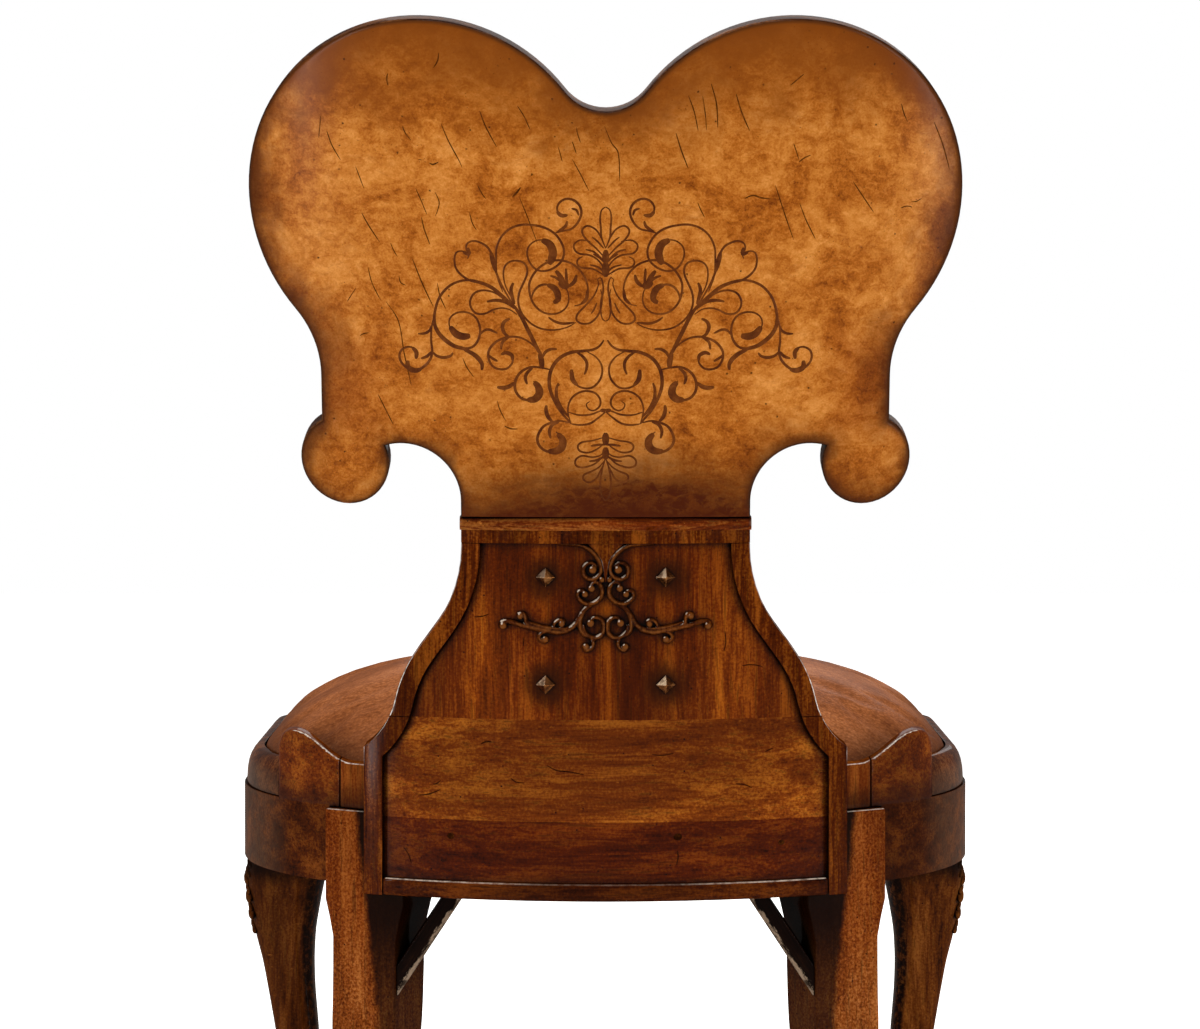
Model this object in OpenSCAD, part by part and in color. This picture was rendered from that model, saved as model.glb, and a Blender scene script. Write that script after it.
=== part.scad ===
// Marquetry side chair: a two-lobed burl back board on a waisted splat,
// over a compass seat with a leather pad, cabriole front legs and swept rear legs.
// Millimetres, Z up, rear of the chair towards -Y, feet on z = 0.

/* [Seat plan] */
// Half width of the seat over the rails
seat_half_w = 290; // [270:1:310]
// Depth of the seat from rear rail to front rail
seat_depth = 476; // [450:1:500]
// Radius of the rear of the seat
rear_r = 360; // [350:1:380]
// Radius where the rear turns into the sides
side_r = 180; // [170:1:190]
// Radius of the front corners
corner_r = 60; // [50:1:70]
// Radius of the bowed front
front_r = 900; // [800:10:1200]

/* [Seat frame] */
// Height of the top of the seat rails above the floor
rail_top = 420.5; // [400:0.5:440]
// Height of a seat rail
rail_h = 58.5; // [50:0.5:66]
// Thickness of a seat rail
rail_t = 26; // [22:1:30]
// Height of the thumb moulding on the rails
mould_h = 29; // [24:1:34]
// Width of the thumb moulding
mould_w = 16; // [14:1:18]
// Thickness of the corner blocks
block_h = 24; // [18:1:30]
// Clearance in the joints of the woodwork
fit = 0.2; // [0.1:0.05:0.4]

/* [Drop-in seat] */
// Width of the loose seat frame rails
loose_w = 48; // [40:1:56]
// Thickness of the loose seat frame
loose_t = 17; // [14:1:20]
// Gap all round the loose seat frame
loose_gap = 1; // [0.5:0.5:2]
// Width of one strip of webbing
web_w = 50; // [40:5:60]
// Height of the leather pad at its crown
pad_crown = 70; // [55:1:80]
// Gap round the leather pad
pad_gap = 0.5; // [0.3:0.1:1]

/* [Splat] */
// Height of the splat's top, where the back board stands on it
splat_top = 644.5; // [620:0.5:660]
// Radius of the splat's rear face in plan
splat_r = 450; // [430:5:480]
// Thickness of the splat over its frame
splat_t = 25; // [22:1:28]
// Depth of the recessed field in the splat
field_depth = 5; // [3:0.5:7]
// Half width of the splat at the waist
waist_half_w = 106.5; // [96:0.5:116]
// Width of the raised frame round the field
frame_w = 14; // [11:0.5:17]
// Height of the splat's top rail
cap_h = 19.5; // [16:0.5:24]
// Height of the rounded moulding along the top rail's upper edge
cap_mould_h = 10; // [7:0.5:12]
// Height of the splat's bottom rail
foot_h = 13; // [10:0.5:18]
// Share of the splat's height below the upright board
field_share = 0.471; // [0.42:0.01:0.52]
// Share of the splat's height below the cross-grained board
band_share = 0.205; // [0.15:0.01:0.26]
// Distance of the bolts from the middle
bolt_x = 44; // [36:1:52]
// Drop of the upper pair of bolts below the splat's top
bolt_drop = 44.5; // [40:0.5:54]
// Rise of the lower pair of bolts above the upright board's foot
bolt_rise = 26; // [18:0.5:44]
// Side of a bolt's square head, which stands on its corner
bolt_head = 10; // [8:0.5:13]
// Diameter of a bolt's shank
bolt_d = 8; // [6:0.5:9]

/* [Back board] */
// Lean of the back board from upright, in degrees
lean = 13; // [8:0.5:16]
// Radius of the board's rear face in plan
board_r = 600; // [550:10:800]
// Thickness of the board with both veneers
board_t = 25; // [20:1:28]
// Thickness of a veneer
veneer_t = 1; // [0.8:0.1:1.5]
// Radius of a lobe
lobe_r = 130.5; // [127:0.5:134]
// Distance of a lobe's centre from the middle
lobe_x = 132; // [129:0.5:135]
// Height of a lobe's centre over the board's foot
lobe_v = 234; // [230:1:240]
// Height of the notch between the lobes over the board's foot
notch_v = 300; // [290:1:308]
// Half width of the board under the lobes
neck_half_w = 210; // [204:1:214]
// Height where the neck starts to widen into a lobe
neck_v = 98; // [90:1:106]
// Radius of an ear
ear_r = 33.5; // [30:0.5:36]
// Distance of an ear's centre from the middle
ear_x = 193; // [190:0.5:196]
// Height of an ear's centre over the board's foot
ear_v = 34.5; // [33:0.5:37]
// Radius of the arch between ear and waist
arch_r = 41.5; // [40:0.5:43]
// Height of the arch's centre over the board's foot
arch_v = 9; // [6:1:12]

/* [Shoulders] */
// Half width over the shoulder blocks
shoulder_x = 253; // [244:1:258]
// Half distance to the joint in the shoulder
shoulder_joint_x = 201.5; // [198:0.5:206]
// Half distance at which the shoulders meet the splat
shoulder_in_x = 180; // [176:1:184]
// Height of the peak over the rail
peak_h = 54; // [48:1:60]
// Height of the valley over the rail
valley_h = 33; // [30:1:38]

/* [Rear legs] */
// Half distance to the inner edge of a rear leg's top
rleg_in_x = 152; // [150:1:154]
// Half distance to the outer edge of a rear leg's top
rleg_out_x = 213; // [209:1:216]
// Angle of a rear leg's face in plan, in degrees
rleg_turn = 28.7; // [28:0.1:30]
// Thickness of a rear leg's top, front to back
rleg_t = 42; // [38:1:46]
// Thickness of a rear leg at the floor
rleg_foot_t = 32; // [26:1:38]
// Width of a rear leg below its head
rleg_w = 56; // [50:1:60]
// Width of a rear leg at the floor
rleg_foot_w = 40; // [34:1:46]
// How far a rear leg sweeps back
rleg_sweep = 62; // [40:1:75]
// Height where the sweep starts
sweep_z = 300; // [260:5:330]

/* [Front legs] */
// Side of the square post in the seat's corner
post_w = 38; // [34:1:40]
// Thickness of the glides under the feet
glide_t = 3; // [2:0.5:5]
// Diameter of the glides under the feet
glide_d = 22; // [18:1:24]

/* [Braces] */
// Width of a brace
brace_w = 18; // [14:1:20]
// Thickness of a brace
brace_t = 13; // [10:1:16]
// Height of a brace's middle where it meets the rear leg
brace_low_z = 292; // [280:1:305]
// Distance of a brace's upper end from the middle
brace_in_x = 112; // [100:1:120]

/* [Hidden] */
$fn = 96;

// Colours
walnut = [0.36, 0.17, 0.07];
walnut_dark = [0.24, 0.11, 0.05];
burl = [0.76, 0.47, 0.18];
leather = [0.55, 0.27, 0.15];
steel = [0.62, 0.58, 0.52];
beech = [0.80, 0.66, 0.46];
linen = [0.72, 0.64, 0.50];

// Points of an arc about c, from angle a0 to a1
function arc(c, r, a0, a1, n = 12) =
    [for (i = [0:n]) let (a = a0 + (a1 - a0)*i/n) [c[0] + r*cos(a), c[1] + r*sin(a)]];
// The same arc without its first point, to follow on from another
function open_arc(c, r, a0, a1, n = 12) =
    [for (i = [1:n]) let (a = a0 + (a1 - a0)*i/n) [c[0] + r*cos(a), c[1] + r*sin(a)]];
function mirrored(p) = [for (q = p) [-q[0], q[1]]];
function reversed(p) = [for (i = [len(p) - 1:-1:0]) p[i]];

// Seat plan: centres and tangent angles of its arcs, right-hand side
rear_c = [0, rear_r];
side_cx = seat_half_w - side_r;
side_c = [side_cx, rear_r - sqrt(pow(rear_r - side_r, 2) - side_cx*side_cx)];
rear_a = asin(side_cx/(rear_r - side_r));
corner_cx = seat_half_w - corner_r;
front_c = [0, seat_depth - front_r];
corner_c = [corner_cx, front_c[1] + sqrt(pow(front_r - corner_r, 2) - corner_cx*corner_cx)];
front_a = atan2(corner_c[1] - front_c[1], corner_cx);
mitre_a = 45;
plan_n = 9;

rail_z = rail_top - rail_h;
splat_in_r = splat_r - splat_t;
field_r = splat_r - field_depth;
seat_gap = 0.3;
big = 1000;
eps = 0.01;

// The chair is moved so that its origin lies under the middle of its box
board_foot_y = -splat_t - 1;
rear_lean = [for (a = [0:1:60]) let (x = lobe_x - lobe_r*sin(a))
    (lobe_v + lobe_r*cos(a))*sin(lean) - (board_r - sqrt(board_r*board_r - x*x))*cos(lean)];
rear_reach = board_foot_y - max(rear_lean);
plan_shift = -(rear_reach + seat_depth)/2;

module place() {
    translate([0, plan_shift, 0]) children();
}

// Draws its child on the right for s = 1, or mirrored on the left for s = -1
module handed(s) {
    if (s > 0) children();
    else mirror([1, 0, 0]) children();
}

// Revolves the child profile about c from angle a0 to a1; the profile reads $r
module ring(c, r, a0, a1) {
    $r = r;
    translate([c[0], c[1], 0]) rotate([0, 0, a0]) rotate_extrude(angle = a1 - a0) children();
}

// The right side of the seat's outline, drawn in by d, from angle a0 behind to the mitre
function side_line(d, a0) = concat(
    arc(rear_c, rear_r - d, a0 - 90, rear_a - 90, 6),
    open_arc(side_c, side_r - d, rear_a - 90, 0, 14),
    arc(corner_c, corner_r - d, 0, mitre_a, 6));
function front_half(d) = concat(
    arc(corner_c, corner_r - d, mitre_a, front_a, 4),
    open_arc(front_c, front_r - d, front_a, 90, 10));
// The front, from the right mitre round to the left one
function front_line(d) = let (right = front_half(d))
    concat(right, [for (i = [len(right) - 2:-1:0]) [-right[i][0], right[i][1]]]);
// A flat band between two lines
module band(outer, inner) {
    polygon(concat(outer, reversed(inner)));
}
// A solid whose section, a list of [inset, height], follows the lines
module moulded(lines, section) {
    n = len(lines[0]);
    k = len(section);
    points = [for (j = [0:k - 1]) for (p = lines[j]) [p[0], p[1], section[j][1]]];
    sides = [for (j = [0:k - 1]) for (i = [0:n - 2]) let (m = (j + 1)%k) each
        [[j*n + i, m*n + i, m*n + i + 1], [j*n + i, m*n + i + 1, j*n + i + 1]]];
    start = [[for (j = [k - 1:-1:0]) j*n]];
    end = [[for (j = [0:k - 1]) j*n + n - 1]];
    polyhedron(points, concat(sides, start, end));
}

// Outline of the seat, drawn in by d
function half_plan(d) = concat(
    arc(rear_c, rear_r - d, -90, rear_a - 90, plan_n),
    open_arc(side_c, side_r - d, rear_a - 90, 0, plan_n),
    arc(corner_c, corner_r - d, 0, front_a, plan_n),
    open_arc(front_c, front_r - d, front_a, 90, plan_n));
// The whole outline once round, without a doubled point on the middle line
function whole_plan(d) = let (right = half_plan(d))
    concat(right, [for (i = [len(right) - 2:-1:1]) [-right[i][0], right[i][1]]]);
module seat_plan(d) {
    polygon(whole_plan(d));
}

// Section of a rail for a revolved piece
module rail_section() {
    polygon([[$r - rail_t, rail_z], [$r, rail_z], [$r, rail_top], [$r - rail_t, rail_top]]);
}
// Section of the thumb moulding, as insets and heights: upright, then rounded over to the pad
mould_set_in = 2;
mould_bead = 3;
mould_round = mould_w - mould_set_in - mould_bead;
mould_step = 0.15*mould_h;
mould_line = concat(
    [[mould_w, rail_top], [mould_set_in, rail_top]],
    [for (a = [0:15:90]) [mould_set_in + mould_round*(1 - cos(a)),
                          rail_top + mould_step + (mould_h - mould_step)*sin(a)]],
    [[mould_w, rail_top + mould_h]]);
module mould_section() {
    polygon([for (p = mould_line) [$r - p[0], p[1]]]);
}

// A rear leg stands in its own frame: x across its face, y forwards, z up
rleg_y = rear_r - sqrt(rear_r*rear_r - rleg_in_x*rleg_in_x) - 5;
rleg_face_w = (rleg_out_x - rleg_in_x)/cos(rleg_turn);
rleg_c = [(rleg_in_x + rleg_out_x)/2, rleg_y + tan(rleg_turn)*(rleg_out_x - rleg_in_x)/2];
module rleg_frame() {
    translate([rleg_c[0], rleg_c[1], 0]) rotate([0, 0, rleg_turn]) children();
}
module rleg_post_space() {
    rleg_frame() translate([-rleg_face_w/2 - fit, -30, rail_z - 10])
        cube([rleg_face_w + 2*fit, rleg_t + 30 + fit, rail_h + 20]);
}
// A front post stands in the corner's diagonal: x outwards, z up
post_out = sqrt(pow(corner_r - rail_t - fit, 2) - post_w*post_w/4);
module fleg_frame() {
    translate([corner_c[0], corner_c[1], 0]) rotate([0, 0, mitre_a]) children();
}

module rear_rail() {
    color(walnut) place() difference() {
        for (s = [-1, 1]) handed(s)
            ring([0, splat_in_r], splat_in_r - seat_gap, -90, -90 + asin((rleg_in_x + 20)/splat_in_r))
                rail_section();
        for (s = [-1, 1]) handed(s) rleg_post_space();
    }
}
module side_rail(s) {
    a0 = asin(rleg_c[0]/rear_r);
    color(walnut) place() handed(s) difference() {
        translate([0, 0, rail_z]) linear_extrude(rail_h) band(side_line(0, a0), side_line(rail_t, a0));
        rleg_post_space();
    }
}
module front_rail() {
    color(walnut) place() translate([0, 0, rail_z]) linear_extrude(rail_h)
        band(front_line(0), front_line(rail_t));
}

// Mouldings run round the pad and stop at the shoulder blocks
filler_in_x = shoulder_in_x - 15;
module rear_moulding() {
    half_w = filler_in_x - fit;
    color(walnut) place() intersection() {
        ring(rear_c, rear_r, -90 - rear_a, -90 + rear_a) mould_section();
        translate([-half_w, -1, rail_top]) cube([2*half_w, rear_r/2, mould_h]);
    }
}
module side_moulding(s) {
    color(walnut) place() handed(s) difference() {
        moulded([for (p = mould_line) side_line(p[0], rear_a - 2)], mould_line);
        translate([0, -big/2, rail_top - 1]) cube([shoulder_x + fit, big/2 + side_c[1], mould_h + 2]);
    }
}
module front_moulding() {
    color(walnut) place() moulded([for (p = mould_line) front_line(p[0])], mould_line);
}

// Wave along the top of a shoulder, as a height over the rail
wave_end_r = 14;
wave_low_x = shoulder_in_x + 12;
wave_high_x = shoulder_x - wave_end_r;
function swing(x) = (1 - cos(180*(x - wave_low_x)/(wave_high_x - wave_low_x)))/2;
function wave(x) =
    x < wave_low_x ? valley_h :
    x < wave_high_x ? valley_h + (peak_h - valley_h)*swing(x) :
    peak_h - wave_end_r + sqrt(wave_end_r*wave_end_r - pow(x - wave_high_x, 2));
module wave_front(x0, x1) {
    rotate([90, 0, 0]) translate([0, 0, -big/2]) linear_extrude(big)
        polygon(concat([[x1, rail_top], [x0, rail_top]],
            [for (i = [0:16]) let (x = x0 + (x1 - x0)*i/16)
                [x, rail_top + wave(min(x, shoulder_x - eps))]]));
}
function shoulder_line(d) = concat(
    arc(rear_c, rear_r - d, -70, rear_a - 90, 8), open_arc(side_c, side_r - d, rear_a - 90, 0, 24));
// The block's outer end is rounded over, back and front
shoulder_round = 5;
module shoulder_block(s) {
    color(walnut) place() handed(s) intersection() {
        translate([0, 0, rail_top]) linear_extrude(peak_h + 1)
            offset(r = shoulder_round, $fn = 32) offset(delta = -shoulder_round) intersection() {
                band(shoulder_line(0), shoulder_line(mould_w));
                translate([0, -big/2]) square([shoulder_x, big]);
            }
        wave_front(shoulder_joint_x + fit/2, shoulder_x);
    }
}
// The narrow inner piece fills the step between the shoulder and the splat
module shoulder_filler(s) {
    color(walnut) place() handed(s) intersection() {
        difference() {
            union() {
                translate([0, rear_r, rail_top]) cylinder(r = rear_r, h = big/8, $fn = 180);
                intersection() {
                    translate([0, splat_in_r, rail_top])
                        cylinder(r = splat_in_r - seat_gap, h = big/8, $fn = 180);
                    translate([filler_in_x, 0, rail_top])
                        cube([shoulder_in_x - seat_gap - filler_in_x, rear_r, big/8]);
                }
            }
            translate([0, rear_r, rail_top - 1])
                cylinder(r = rear_r - mould_w, h = big/8 + 2, $fn = 180);
            translate([-big, rear_r/2, rail_top - 1]) cube([2*big, big, big]);
        }
        wave_front(filler_in_x, shoulder_joint_x - fit/2);
    }
}

// Corner blocks: behind each rear leg, and across each front corner
block_z = rail_top - 2 - block_h;
screw_d = 4;
screw_head_d = 8.5;
rear_block_n = rleg_t + seat_gap;
rear_block_d = 30;
front_block_in = 62;
module rear_screw_at() {
    rleg_frame() translate([0, rear_block_n + rear_block_d/2, 0]) children();
}
module front_screw_at() {
    fleg_frame() translate([post_out - post_w - 14, 0, 0]) children();
}
module screw_space() {
    translate([0, 0, block_z - 20]) cylinder(d = screw_d + 2*fit, h = rail_h, $fn = 32);
}
module rear_corner_block(s) {
    color(beech) place() handed(s) difference() {
        rleg_frame() translate([-40, rear_block_n, block_z]) cube([80, rear_block_d, block_h]);
        rear_screw_at() screw_space();
    }
}
module front_corner_block(s) {
    color(beech) place() handed(s) difference() {
        intersection() {
            translate([0, 0, block_z]) linear_extrude(block_h) seat_plan(rail_t + seat_gap);
            fleg_frame() translate([-front_block_in, -big/2, block_z]) cube([big, big, block_h]);
        }
        fleg_frame() translate([post_out - post_w - fit, -post_w/2 - fit, 0])
            cube([big, post_w + 2*fit, big]);
        front_screw_at() screw_space();
    }
}
module seat_screw() {
    translate([0, 0, block_z - 3.2]) cylinder(d = screw_head_d, h = 3, $fn = 32);
    translate([0, 0, block_z - 1]) cylinder(d = screw_d, h = block_h + 2 + loose_t - 4, $fn = 32);
}
module seat_screws() {
    color(steel) place() for (s = [-1, 1]) handed(s) {
        rear_screw_at() seat_screw();
        front_screw_at() seat_screw();
    }
}

// Drop-in seat: four rails in the moulding's rebate, webbing, hessian and the pad
loose_d = mould_w + loose_gap;
loose_side_x = seat_half_w - loose_d - loose_w;
loose_rear_y = 74;
loose_front_y = seat_depth - loose_d - loose_w - 12;
loose_front_end = corner_c[1] - 40;
loose_end_x = loose_side_x - 100;
module loose_ring() {
    translate([0, 0, rail_top + eps]) linear_extrude(loose_t) seat_plan(loose_d);
}
module loose_screw_space() {
    translate([0, 0, rail_top - 1]) cylinder(d = screw_d + fit, h = loose_t, $fn = 32);
}
module screw_holes() {
    for (s = [-1, 1]) handed(s) {
        rear_screw_at() loose_screw_space();
        front_screw_at() loose_screw_space();
    }
}
module loose_frame_rear() {
    color(beech) place() difference() {
        intersection() {
            loose_ring();
            translate([-big/2, 0, 0]) cube([big, loose_rear_y + loose_w, big]);
        }
        translate([-loose_end_x, loose_rear_y, 0]) cube([2*loose_end_x, big, big]);
        screw_holes();
    }
}
module loose_frame_front() {
    color(beech) place() difference() {
        intersection() {
            loose_ring();
            translate([-big/2, loose_front_end, 0]) cube([big, big, big]);
        }
        translate([-loose_end_x, 0, 0]) cube([2*loose_end_x, loose_front_y, big]);
        screw_holes();
    }
}
module loose_frame_side(s) {
    color(beech) place() handed(s) intersection() {
        loose_ring();
        translate([loose_side_x, loose_rear_y + loose_w + fit, 0])
            cube([big, loose_front_end - loose_rear_y - loose_w - 2*fit, big]);
    }
}
web_t = 1.4;
loose_top = rail_top + eps + loose_t;
module webbing() {
    step = web_w + 16;
    color(linen) place() translate([0, 0, loose_top + eps]) linear_extrude(web_t) intersection() {
        seat_plan(loose_d + 8);
        union() {
            for (i = [-1.5:1:1.5]) translate([i*step - web_w/2, 0]) square([web_w, seat_depth]);
            for (i = [-2:1:1]) translate([-seat_half_w, seat_depth/2 + i*step + 8])
                square([2*seat_half_w, web_w]);
        }
    }
}
cloth_t = 1;
cloth_z = loose_top + web_t + 2*eps;
module hessian() {
    color(linen) place() translate([0, 0, cloth_z]) linear_extrude(cloth_t) seat_plan(loose_d + 3);
}
// The pad: an upright side, then a crown whose rings close towards the middle
pad_z = cloth_z + cloth_t + seat_gap;
pad_mid = [0, seat_depth/2 + 10];
pad_rings = [[1, 0], [1, 0.17], [0.985, 0.28], [0.945, 0.42], [0.9, 0.56], [0.845, 0.70],
             [0.78, 0.81], [0.7, 0.89], [0.55, 0.95], [0.35, 0.985], [0.15, 1]];
module seat_pad() {
    plan = whole_plan(mould_w + pad_gap);
    n = len(plan);
    k = len(pad_rings);
    points = [for (r = pad_rings) for (p = plan)
        [pad_mid[0] + r[0]*(p[0] - pad_mid[0]), pad_mid[1] + r[0]*(p[1] - pad_mid[1]),
         pad_z + r[1]*pad_crown]];
    sides = [for (j = [0:k - 2]) for (i = [0:n - 1]) each
        [[j*n + i, j*n + n + i, j*n + n + (i + 1)%n],
         [j*n + i, j*n + n + (i + 1)%n, j*n + (i + 1)%n]]];
    foot = [[for (i = [0:n - 1]) i]];
    crown = [[for (i = [n - 1:-1:0]) (k - 1)*n + i]];
    color(leather) place() polyhedron(points, concat(sides, foot, crown));
}

// Splat: one side's outline, a chain of arcs, drawn in by d
side_a1 = 36;
side_a2 = 12;
waist_r = 95;
waist_z = splat_top - 22.5;
hip_r = 100;
hip_run = 25;
flare_r = 60;
waist_c = [waist_half_w + waist_r, waist_z];
hip_start = waist_c - waist_r*[cos(side_a1), sin(side_a1)] + hip_run*[sin(side_a1), -cos(side_a1)];
hip_c = hip_start - hip_r*[cos(side_a1), sin(side_a1)];
flare_c = hip_c + (hip_r + flare_r)*[cos(side_a2), sin(side_a2)];
function side_end_a(d) = acos((flare_c[0] - shoulder_in_x + d)/(flare_r + d));
function splat_side(d) = concat(
    [[waist_half_w - d, splat_top + 30]],
    [for (a = [0:side_a1/6:side_a1]) waist_c - (waist_r + d)*[cos(a), sin(a)]],
    [for (a = [side_a1:-(side_a1 - side_a2)/5:side_a2]) hip_c + (hip_r - d)*[cos(a), sin(a)]],
    [for (i = [1:6]) let (a = side_a2 + (side_end_a(d) - side_a2)*i/6)
        flare_c - (flare_r + d)*[cos(a), sin(a)]],
    [[shoulder_in_x - d, rail_z - 30]]);
cap_z = splat_top - cap_h;
foot_z = rail_z + foot_h;
field_joint_z = rail_z + field_share*(splat_top - rail_z);
band_joint_z = rail_z + band_share*(splat_top - rail_z);
bolt_high_z = splat_top - bolt_drop;
bolt_low_z = field_joint_z + bolt_rise;

// A block cut to an elevation outline and to the curve of the splat between two radii
module splat_shell(r_out, z0, z1) {
    intersection() {
        difference() {
            translate([0, splat_in_r, z0]) cylinder(r = r_out, h = z1 - z0, $fn = 240);
            translate([0, splat_in_r, z0 - 1]) cylinder(r = splat_in_r, h = z1 - z0 + 2, $fn = 240);
        }
        translate([0, splat_in_r, 0]) rotate([90, 0, 0]) linear_extrude(big) children();
    }
}
module splat_stile(s, z0, z1) {
    color(walnut) place() handed(s) splat_shell(splat_r, z0, z1)
        polygon(concat(splat_side(0), reversed(splat_side(frame_w))));
}
module splat_field() {
    polygon(concat(splat_side(frame_w), reversed(mirrored(splat_side(frame_w)))));
}
module bolt_places() {
    for (s = [-1, 1]) for (z = [bolt_low_z, bolt_high_z])
        translate([s*bolt_x, splat_in_r - sqrt(field_r*field_r - bolt_x*bolt_x), z])
            rotate([0, 0, s*asin(bolt_x/field_r)]) rotate([90, 0, 0]) children();
}
module splat_panel_upper() {
    color(walnut) place() difference() {
        splat_shell(field_r, field_joint_z, cap_z) splat_field();
        bolt_places() translate([0, 0, -splat_t]) cylinder(d = bolt_d + 2*fit, h = 2*splat_t, $fn = 32);
    }
}
module splat_panel_middle() {
    color(walnut) place() splat_shell(field_r, band_joint_z, field_joint_z) splat_field();
}
module splat_panel_lower() {
    color(walnut_dark) place() splat_shell(field_r, foot_z, band_joint_z) splat_field();
}
module splat_bottom_rail() {
    color(walnut) place() splat_shell(splat_r, rail_z, foot_z) splat_field();
}
// The top rail lies flush between the stiles, under a moulding that stands a little proud
cap_proud = 3;
module splat_top_rail() {
    cap_r = splat_r + cap_proud;
    nose = 5;
    mould_z = splat_top - cap_mould_h;
    color(walnut) place() difference() {
        union() {
            splat_shell(splat_r, cap_z, mould_z)
                polygon(concat(splat_side(0), reversed(mirrored(splat_side(0)))));
            intersection() {
                translate([0, splat_in_r, 0]) rotate_extrude($fn = 240) polygon(concat(
                    [[splat_in_r, mould_z], [splat_r, mould_z], [cap_r, mould_z + cap_proud]],
                    [for (a = [0:15:90]) [cap_r - nose + nose*cos(a), splat_top - nose + nose*sin(a)]],
                    [[splat_in_r, splat_top]]));
                translate([-waist_half_w - 1, splat_in_r - big, mould_z])
                    cube([2*waist_half_w + 2, big, cap_mould_h]);
            }
        }
        dowel_places() translate([0, 0, -20]) cylinder(d = dowel_d + fit, h = 60, $fn = 32);
    }
}
// Bolts: a square pyramid head on a square base, over a round shank
module back_bolts() {
    base_h = 2;
    head_h = 5;
    seat = 0.1;
    color(steel) place() bolt_places() union() {
        translate([0, 0, seat]) cylinder(d = bolt_head*sqrt(2), h = base_h, $fn = 4);
        translate([0, 0, seat + base_h])
            cylinder(d1 = bolt_head*sqrt(2), d2 = bolt_head/8, h = head_h, $fn = 4);
        translate([0, 0, -splat_t + field_depth + 1])
            cylinder(d = bolt_d, h = splat_t - field_depth, $fn = 32);
    }
}
// Carved scrolls glued to the field. A stroke is a chain of discs along points, which are
// given across from the middle and down from the splat's top
scroll_t = 4.5;
scroll_w = 3.4;
scroll_lines = [
    [[36, -20.5], [17, -21], [10, -25], [5, -31], [3.5, -37], [5, -43],
     [10, -45.5], [15, -43], [16, -38], [11, -34.5]],
    [[10, -51], [7, -48], [4, -50], [3, -55], [5, -61], [12, -64], [18, -61], [20, -56], [16, -54]],
    [[8, -63], [16, -69], [22, -78], [28, -83], [38, -84], [52, -81],
     [64, -79], [73, -77], [77, -80], [74, -82]],
    [[38, -83], [37, -78], [33, -75.5], [31, -79]],
    [[56, -80.5], [59, -74], [61, -71], [64, -73]],
    [[42, -84], [47, -86], [48, -89.5], [44, -91]],
    [[11, -77], [7, -74], [3, -77], [2, -82], [4, -87], [9, -89], [15, -85], [16, -79]],
    [[16, -68], [19, -75], [18.5, -82], [15, -86]],
    [[10, -89], [9, -93], [12, -97], [16, -95]]];
scroll_eyes = [[9.5, -38.5], [9.5, -52], [15, -56.5], [75, -80.5], [32, -78],
               [62.5, -73], [44.5, -90], [10.5, -78], [14.5, -95]];
// The drawing fits an upright board of this height, and follows the board's own
scroll_board_h = 149.4;
module scroll_outline() {
    translate([0, splat_top]) scale([1, (splat_top - field_joint_z)/scroll_board_h]) {
        for (line = scroll_lines) for (i = [0:len(line) - 2]) hull() {
            translate(line[i]) circle(d = scroll_w, $fn = 12);
            translate(line[i + 1]) circle(d = scroll_w, $fn = 12);
        }
        for (eye = scroll_eyes) translate(eye) circle(d = 1.2*scroll_w, $fn = 16);
    }
}
module carved_scroll(s) {
    color(walnut_dark) place() handed(s) intersection() {
        difference() {
            translate([0, splat_in_r, field_joint_z])
                cylinder(r = field_r + scroll_t, h = cap_z - fit - field_joint_z, $fn = 240);
            translate([0, splat_in_r, field_joint_z - 1])
                cylinder(r = field_r + 0.05, h = cap_z, $fn = 240);
        }
        translate([0, splat_in_r, 0]) rotate([90, 0, 0]) linear_extrude(big) scroll_outline();
    }
}

// Back board: outline of one half in its own plane, from tangent arcs
arch_c = [waist_half_w + arch_r, arch_v];
ear_c = [ear_x, ear_v];
lobe_c = [lobe_x, lobe_v];
arch_ear = norm(ear_c - arch_c);
arch_ear_u = (ear_c - arch_c)/arch_ear;
arch_ear_a = (arch_r*arch_r - ear_r*ear_r + arch_ear*arch_ear)/(2*arch_ear);
arch_end = arch_c + arch_ear_a*arch_ear_u
    + sqrt(arch_r*arch_r - arch_ear_a*arch_ear_a)*[-arch_ear_u[1], arch_ear_u[0]];
function heading(p, q) = atan2(q[1] - p[1], q[0] - p[0]);
ear_a0 = heading(ear_c, arch_end);
ear_a1 = 360 + acos((neck_half_w - ear_x)/ear_r);
neck_dx = neck_half_w - lobe_x;
neck_dv = lobe_v - neck_v;
neck_r = (neck_dx*neck_dx + neck_dv*neck_dv - lobe_r*lobe_r)/(2*(lobe_r - neck_dx));
neck_c = [neck_half_w + neck_r, neck_v];
notch_dv = notch_v - lobe_v;
notch_r = (lobe_x*lobe_x + notch_dv*notch_dv - lobe_r*lobe_r)/(2*(lobe_r - notch_dv));
notch_c = [0, notch_v + notch_r];
notch_a = heading(lobe_c, notch_c);
board_drop = 12;
half_board = concat(
    [[waist_half_w, -board_drop]],
    arc(arch_c, arch_r, 180, heading(arch_c, arch_end), 14),
    open_arc(ear_c, ear_r, ear_a0, ear_a1, 20),
    arc(neck_c, neck_r, 180, heading(neck_c, lobe_c), 6),
    open_arc(lobe_c, lobe_r, heading(lobe_c, neck_c), notch_a, 34),
    open_arc(notch_c, notch_r, notch_a - 180, -90, 6));
module board_outline() {
    left = [for (i = [len(half_board) - 2:-1:0]) [-half_board[i][0], half_board[i][1]]];
    polygon(concat(half_board, left));
}
module board_frame() {
    translate([0, board_foot_y, splat_top]) rotate([lean, 0, 0]) children();
}
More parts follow.
